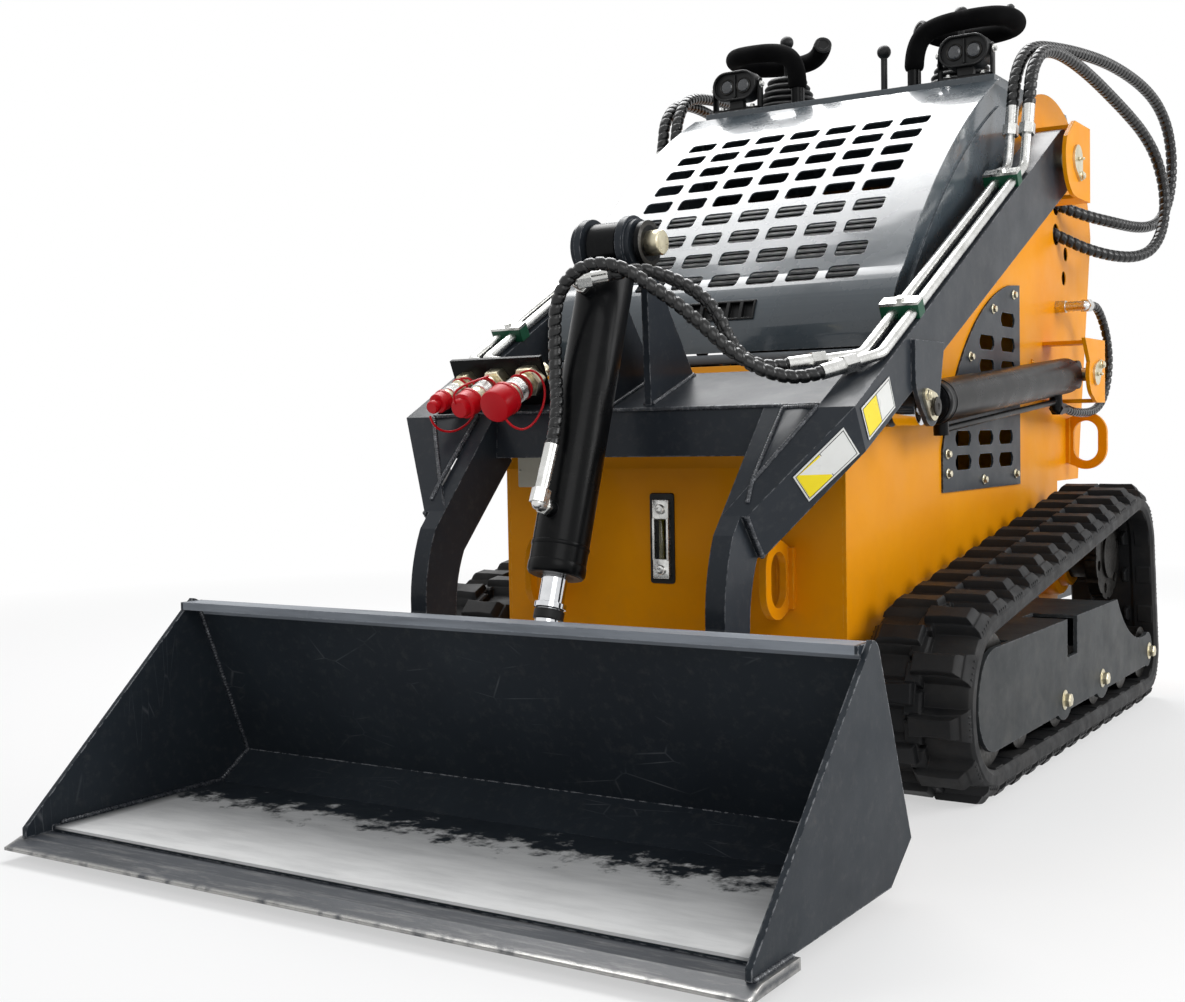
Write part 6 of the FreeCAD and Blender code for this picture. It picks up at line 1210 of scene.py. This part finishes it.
def slotted_hood():
    """The hood's sheet with its round-cornered slots, standing for the plain one."""
    centre, radius = circle_through(HOOD_KNEE, HOOD_MID, HOOD_TOP)
    made = bmesh.new()
    made.from_mesh(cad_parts["hood"].data)
    bmesh.ops.remove_doubles(made, verts=made.verts, dist=0.00002)
    mesh = bpy.data.meshes.new("hood_sheet")
    made.to_mesh(mesh)
    made.free()
    sheet = enter("hood_sheet", mesh)
    cutter = Shape()
    top = atan2(HOOD_TOP[1] - centre[1], HOOD_TOP[0] - centre[0])
    for row in range(SLOT_ROWS):
        angle = top + (SLOT_START + row * SLOT_PITCH) / radius
        out = Vector((0, cos(angle), sin(angle)))
        along = Vector((0, -sin(angle), cos(angle)))
        for column in range(SLOT_COLUMNS):
            x = (column - (SLOT_COLUMNS - 1) / 2) * SLOT_PITCH_X
            at = place(x, *polar(centre, radius, angle))
            outline = patch(at, X, along, *SLOT_HALF, SLOT_CORNER)
            cutter.rings([[move(point, (out, lift)) for point in outline] for lift in (-14, 14)])
    tool = cutter.piece("slot_cutter", "plastic", "hood", slot="")
    cut = sheet.modifiers.new("slots", "BOOLEAN")
    cut.operation, cut.solver, cut.object = "DIFFERENCE", "EXACT", tool
    bpy.context.view_layer.update()
    cut_sheet = sheet.evaluated_get(bpy.context.evaluated_depsgraph_get())
    result = bpy.data.meshes.new_from_object(cut_sheet)
    sheet.modifiers.clear()
    sheet.data = result
    bpy.data.objects.remove(tool)
    result.materials.clear()
    result.materials.append(MATERIALS["glossy"])
    result.shade_smooth()
    result.set_sharp_from_angle(angle=radians(30))
    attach(sheet, "hood")
    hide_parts("hood")


slotted_hood()

# ------------------------ body's front
BODY_FRONT = 878
# the sight gauge's middle, its frame's ends and bars, its screws, and its scale's first mark
GAUGE_MIDDLE, GAUGE_ENDS, GAUGE_BARS = (-4, 420), (470.5, 369.5), (-17.6, 9.6)
GAUGE_SCREWS, SCALE_START, SCALE_PITCH, SCALE_MARKS = (471, 368), 393, 9, 7
# the blank plate's middle, and its rivets' places either side of it
BLANK, RIVETS = (-270, 536), 30
# the hood's seal: its middle, its half sizes, and its rows as (x, share of the size)
SEAL, SEAL_HALF = (1044, 728), (7, 9)
SEAL_ROWS = ((-322, 0.7), (-320, 1), (320, 1), (322, 0.7))
GAUGE_SCREW = ((8.4, 0), (8.4, 3.4), (7.2, 5), (3.6, 5.6), (3.4, 3.6), (0.3, 3.5))
RIVET = ((2.4, 0), (2.4, 0.8), (1.4, 1.5), (0.2, 1.6))


def front_patch(shape, x, proud, z, half_wide, half_high, corner, thickness, lip):
    """A round-cornered plate that starts some way proud of the body's front."""
    outline = patch(place(x, BODY_FRONT - proud, z), X, Z, half_wide, half_high, corner)
    shape.plate(outline, -Y, thickness, lip)


def body_front():
    """Sight gauge, blank plate and the seal under the hood."""
    backing, silver, marks, screws, blank, seal = [Shape() for _ in range(6)]
    front_patch(backing, -5, 0, 421, 23.5, 77, 5, 3.2, 1)
    x, z = GAUGE_MIDDLE
    for end in GAUGE_ENDS:
        front_patch(silver, x, 2, end, 15.5, 16.5, 1.5, 8.5, 0.8)
    for bar in GAUGE_BARS:
        front_patch(silver, bar, 2, z, 1.9, 36, 0.6, 9.5, 0.6)
    front_patch(marks, x, 2.4, z, 12.5, 35, 0.5, 1.2, 0.2)
    for k in range(SCALE_MARKS):
        front_patch(marks, x + 10, 3.2, SCALE_START + SCALE_PITCH * k, 3.2 if k % 3 else 5, 0.7,
                    0.2, 1.6, 0.2)
    for end in GAUGE_SCREWS:
        screws.lathe(place(x, BODY_FRONT - 10, end), -Y, GAUGE_SCREW, 28)
    backing.piece("gauge_backing", "plastic")
    silver.piece("gauge_frame", "bright")
    turned("gauge_tube", "tube_glass", place(-3, BODY_FRONT - 7.6, 387), Z,
           ((4.6, 0), (4.6, 66), (4.2, 66.4)), sides=24, smooth=60)
    marks.piece("gauge_marks", "plastic")
    screws.piece("gauge_screws", "bright")
    x, z = BLANK
    front_patch(blank, x, 0.2, z, 34, 29, 3, 1, 0.4)
    for rivet in (x - RIVETS, x + RIVETS):
        blank.lathe(place(rivet, BODY_FRONT - 1, z), -Y, RIVET, 16)
    blank.piece("blank_plate", "pale_film")
    turns = [(cos(TURN * k / 16), sin(TURN * k / 16)) for k in range(16)]
    (y, z), (half_y, half_z) = SEAL, SEAL_HALF
    seal.rings([[place(x, y + half_y * share * a, z + half_z * share * b) for a, b in turns]
                for x, share in SEAL_ROWS])
    seal.piece("hood_seal", "seal")


body_front()

# ------------------------ stage
FLOOR_HALF = 20
# where the floor starts to pale, and where it is white
NEAR, FAR = 1.9, 4.2
# each lamp's place, aim and size, in metres, and its power
LIGHTS = (("top_light", (-1.1, 1.3, 3.6), (0, 0, 0.8), (3, 2.2), 150),
          ("front_light", (2.6, -3.6, 2.6), (0, 0, 0.6), (2.5, 2.5), 46),
          ("side_light", (4, 1, 2.2), (0, 0.2, 0.6), (2.5, 2), 98))


def make_floor():
    """A pale floor that keeps the shadow near the machine and runs into the white backdrop."""
    mesh = bpy.data.meshes.new("floor")
    corners = [(x, y, 0) for x, y in oblong(-FLOOR_HALF, FLOOR_HALF, FLOOR_HALF)]
    mesh.from_pydata(corners, [], [(0, 1, 2, 3)])
    g = Graph("pale_floor")
    g.set(Base_Color=(0.9, 0.9, 0.9, 1),
          Roughness=g.spread(g.noise(5, 3), 0.3, 0.7, 0.78, 0.82))
    reach = g.add("VectorMath", {0: g.place}, operation="LENGTH").outputs["Value"]
    share = g.times(g.spread(reach, NEAR, FAR, 0.55, 1), g.backdrop())
    glow = g.add("Emission", {"Color": WHITE}).outputs["Emission"]
    mixed = g.add("MixShader", {0: share, 1: g.shader.outputs["BSDF"], 2: glow}).outputs["Shader"]
    g.feed(g.nodes["Material Output"].inputs["Surface"], mixed)
    mesh.materials.append(g.owner)
    enter("floor", mesh)


def make_world():
    """A dim sky for the machine, which shows as plain white."""
    g = Graph("world", "worlds")
    SCENE.world = g.owner
    fill = g.nodes["Background"]
    g.feed(fill.inputs["Color"], (0.95, 0.97, 1, 1))
    g.feed(fill.inputs["Strength"], 0.27)
    white = g.add("Background", {"Color": WHITE}).outputs["Background"]
    mixed = g.add("MixShader", {0: g.backdrop(), 1: fill.outputs["Background"], 2: white})
    g.feed(g.nodes["World Output"].inputs["Surface"], mixed.outputs["Shader"])


def area_light(name, at, aim, size, power):
    """A soft lamp at a place, in metres, turned to its aim."""
    data = bpy.data.lights.new(name, "AREA")
    data.shape = "RECTANGLE"
    data.size, data.size_y = size
    data.energy = power
    light = enter(name, data)
    light.location = at
    light.rotation_euler = (Vector(aim) - Vector(at)).to_track_quat("-Z", "Y").to_euler()


make_floor()
make_world()
for light in LIGHTS:
    area_light(*light)
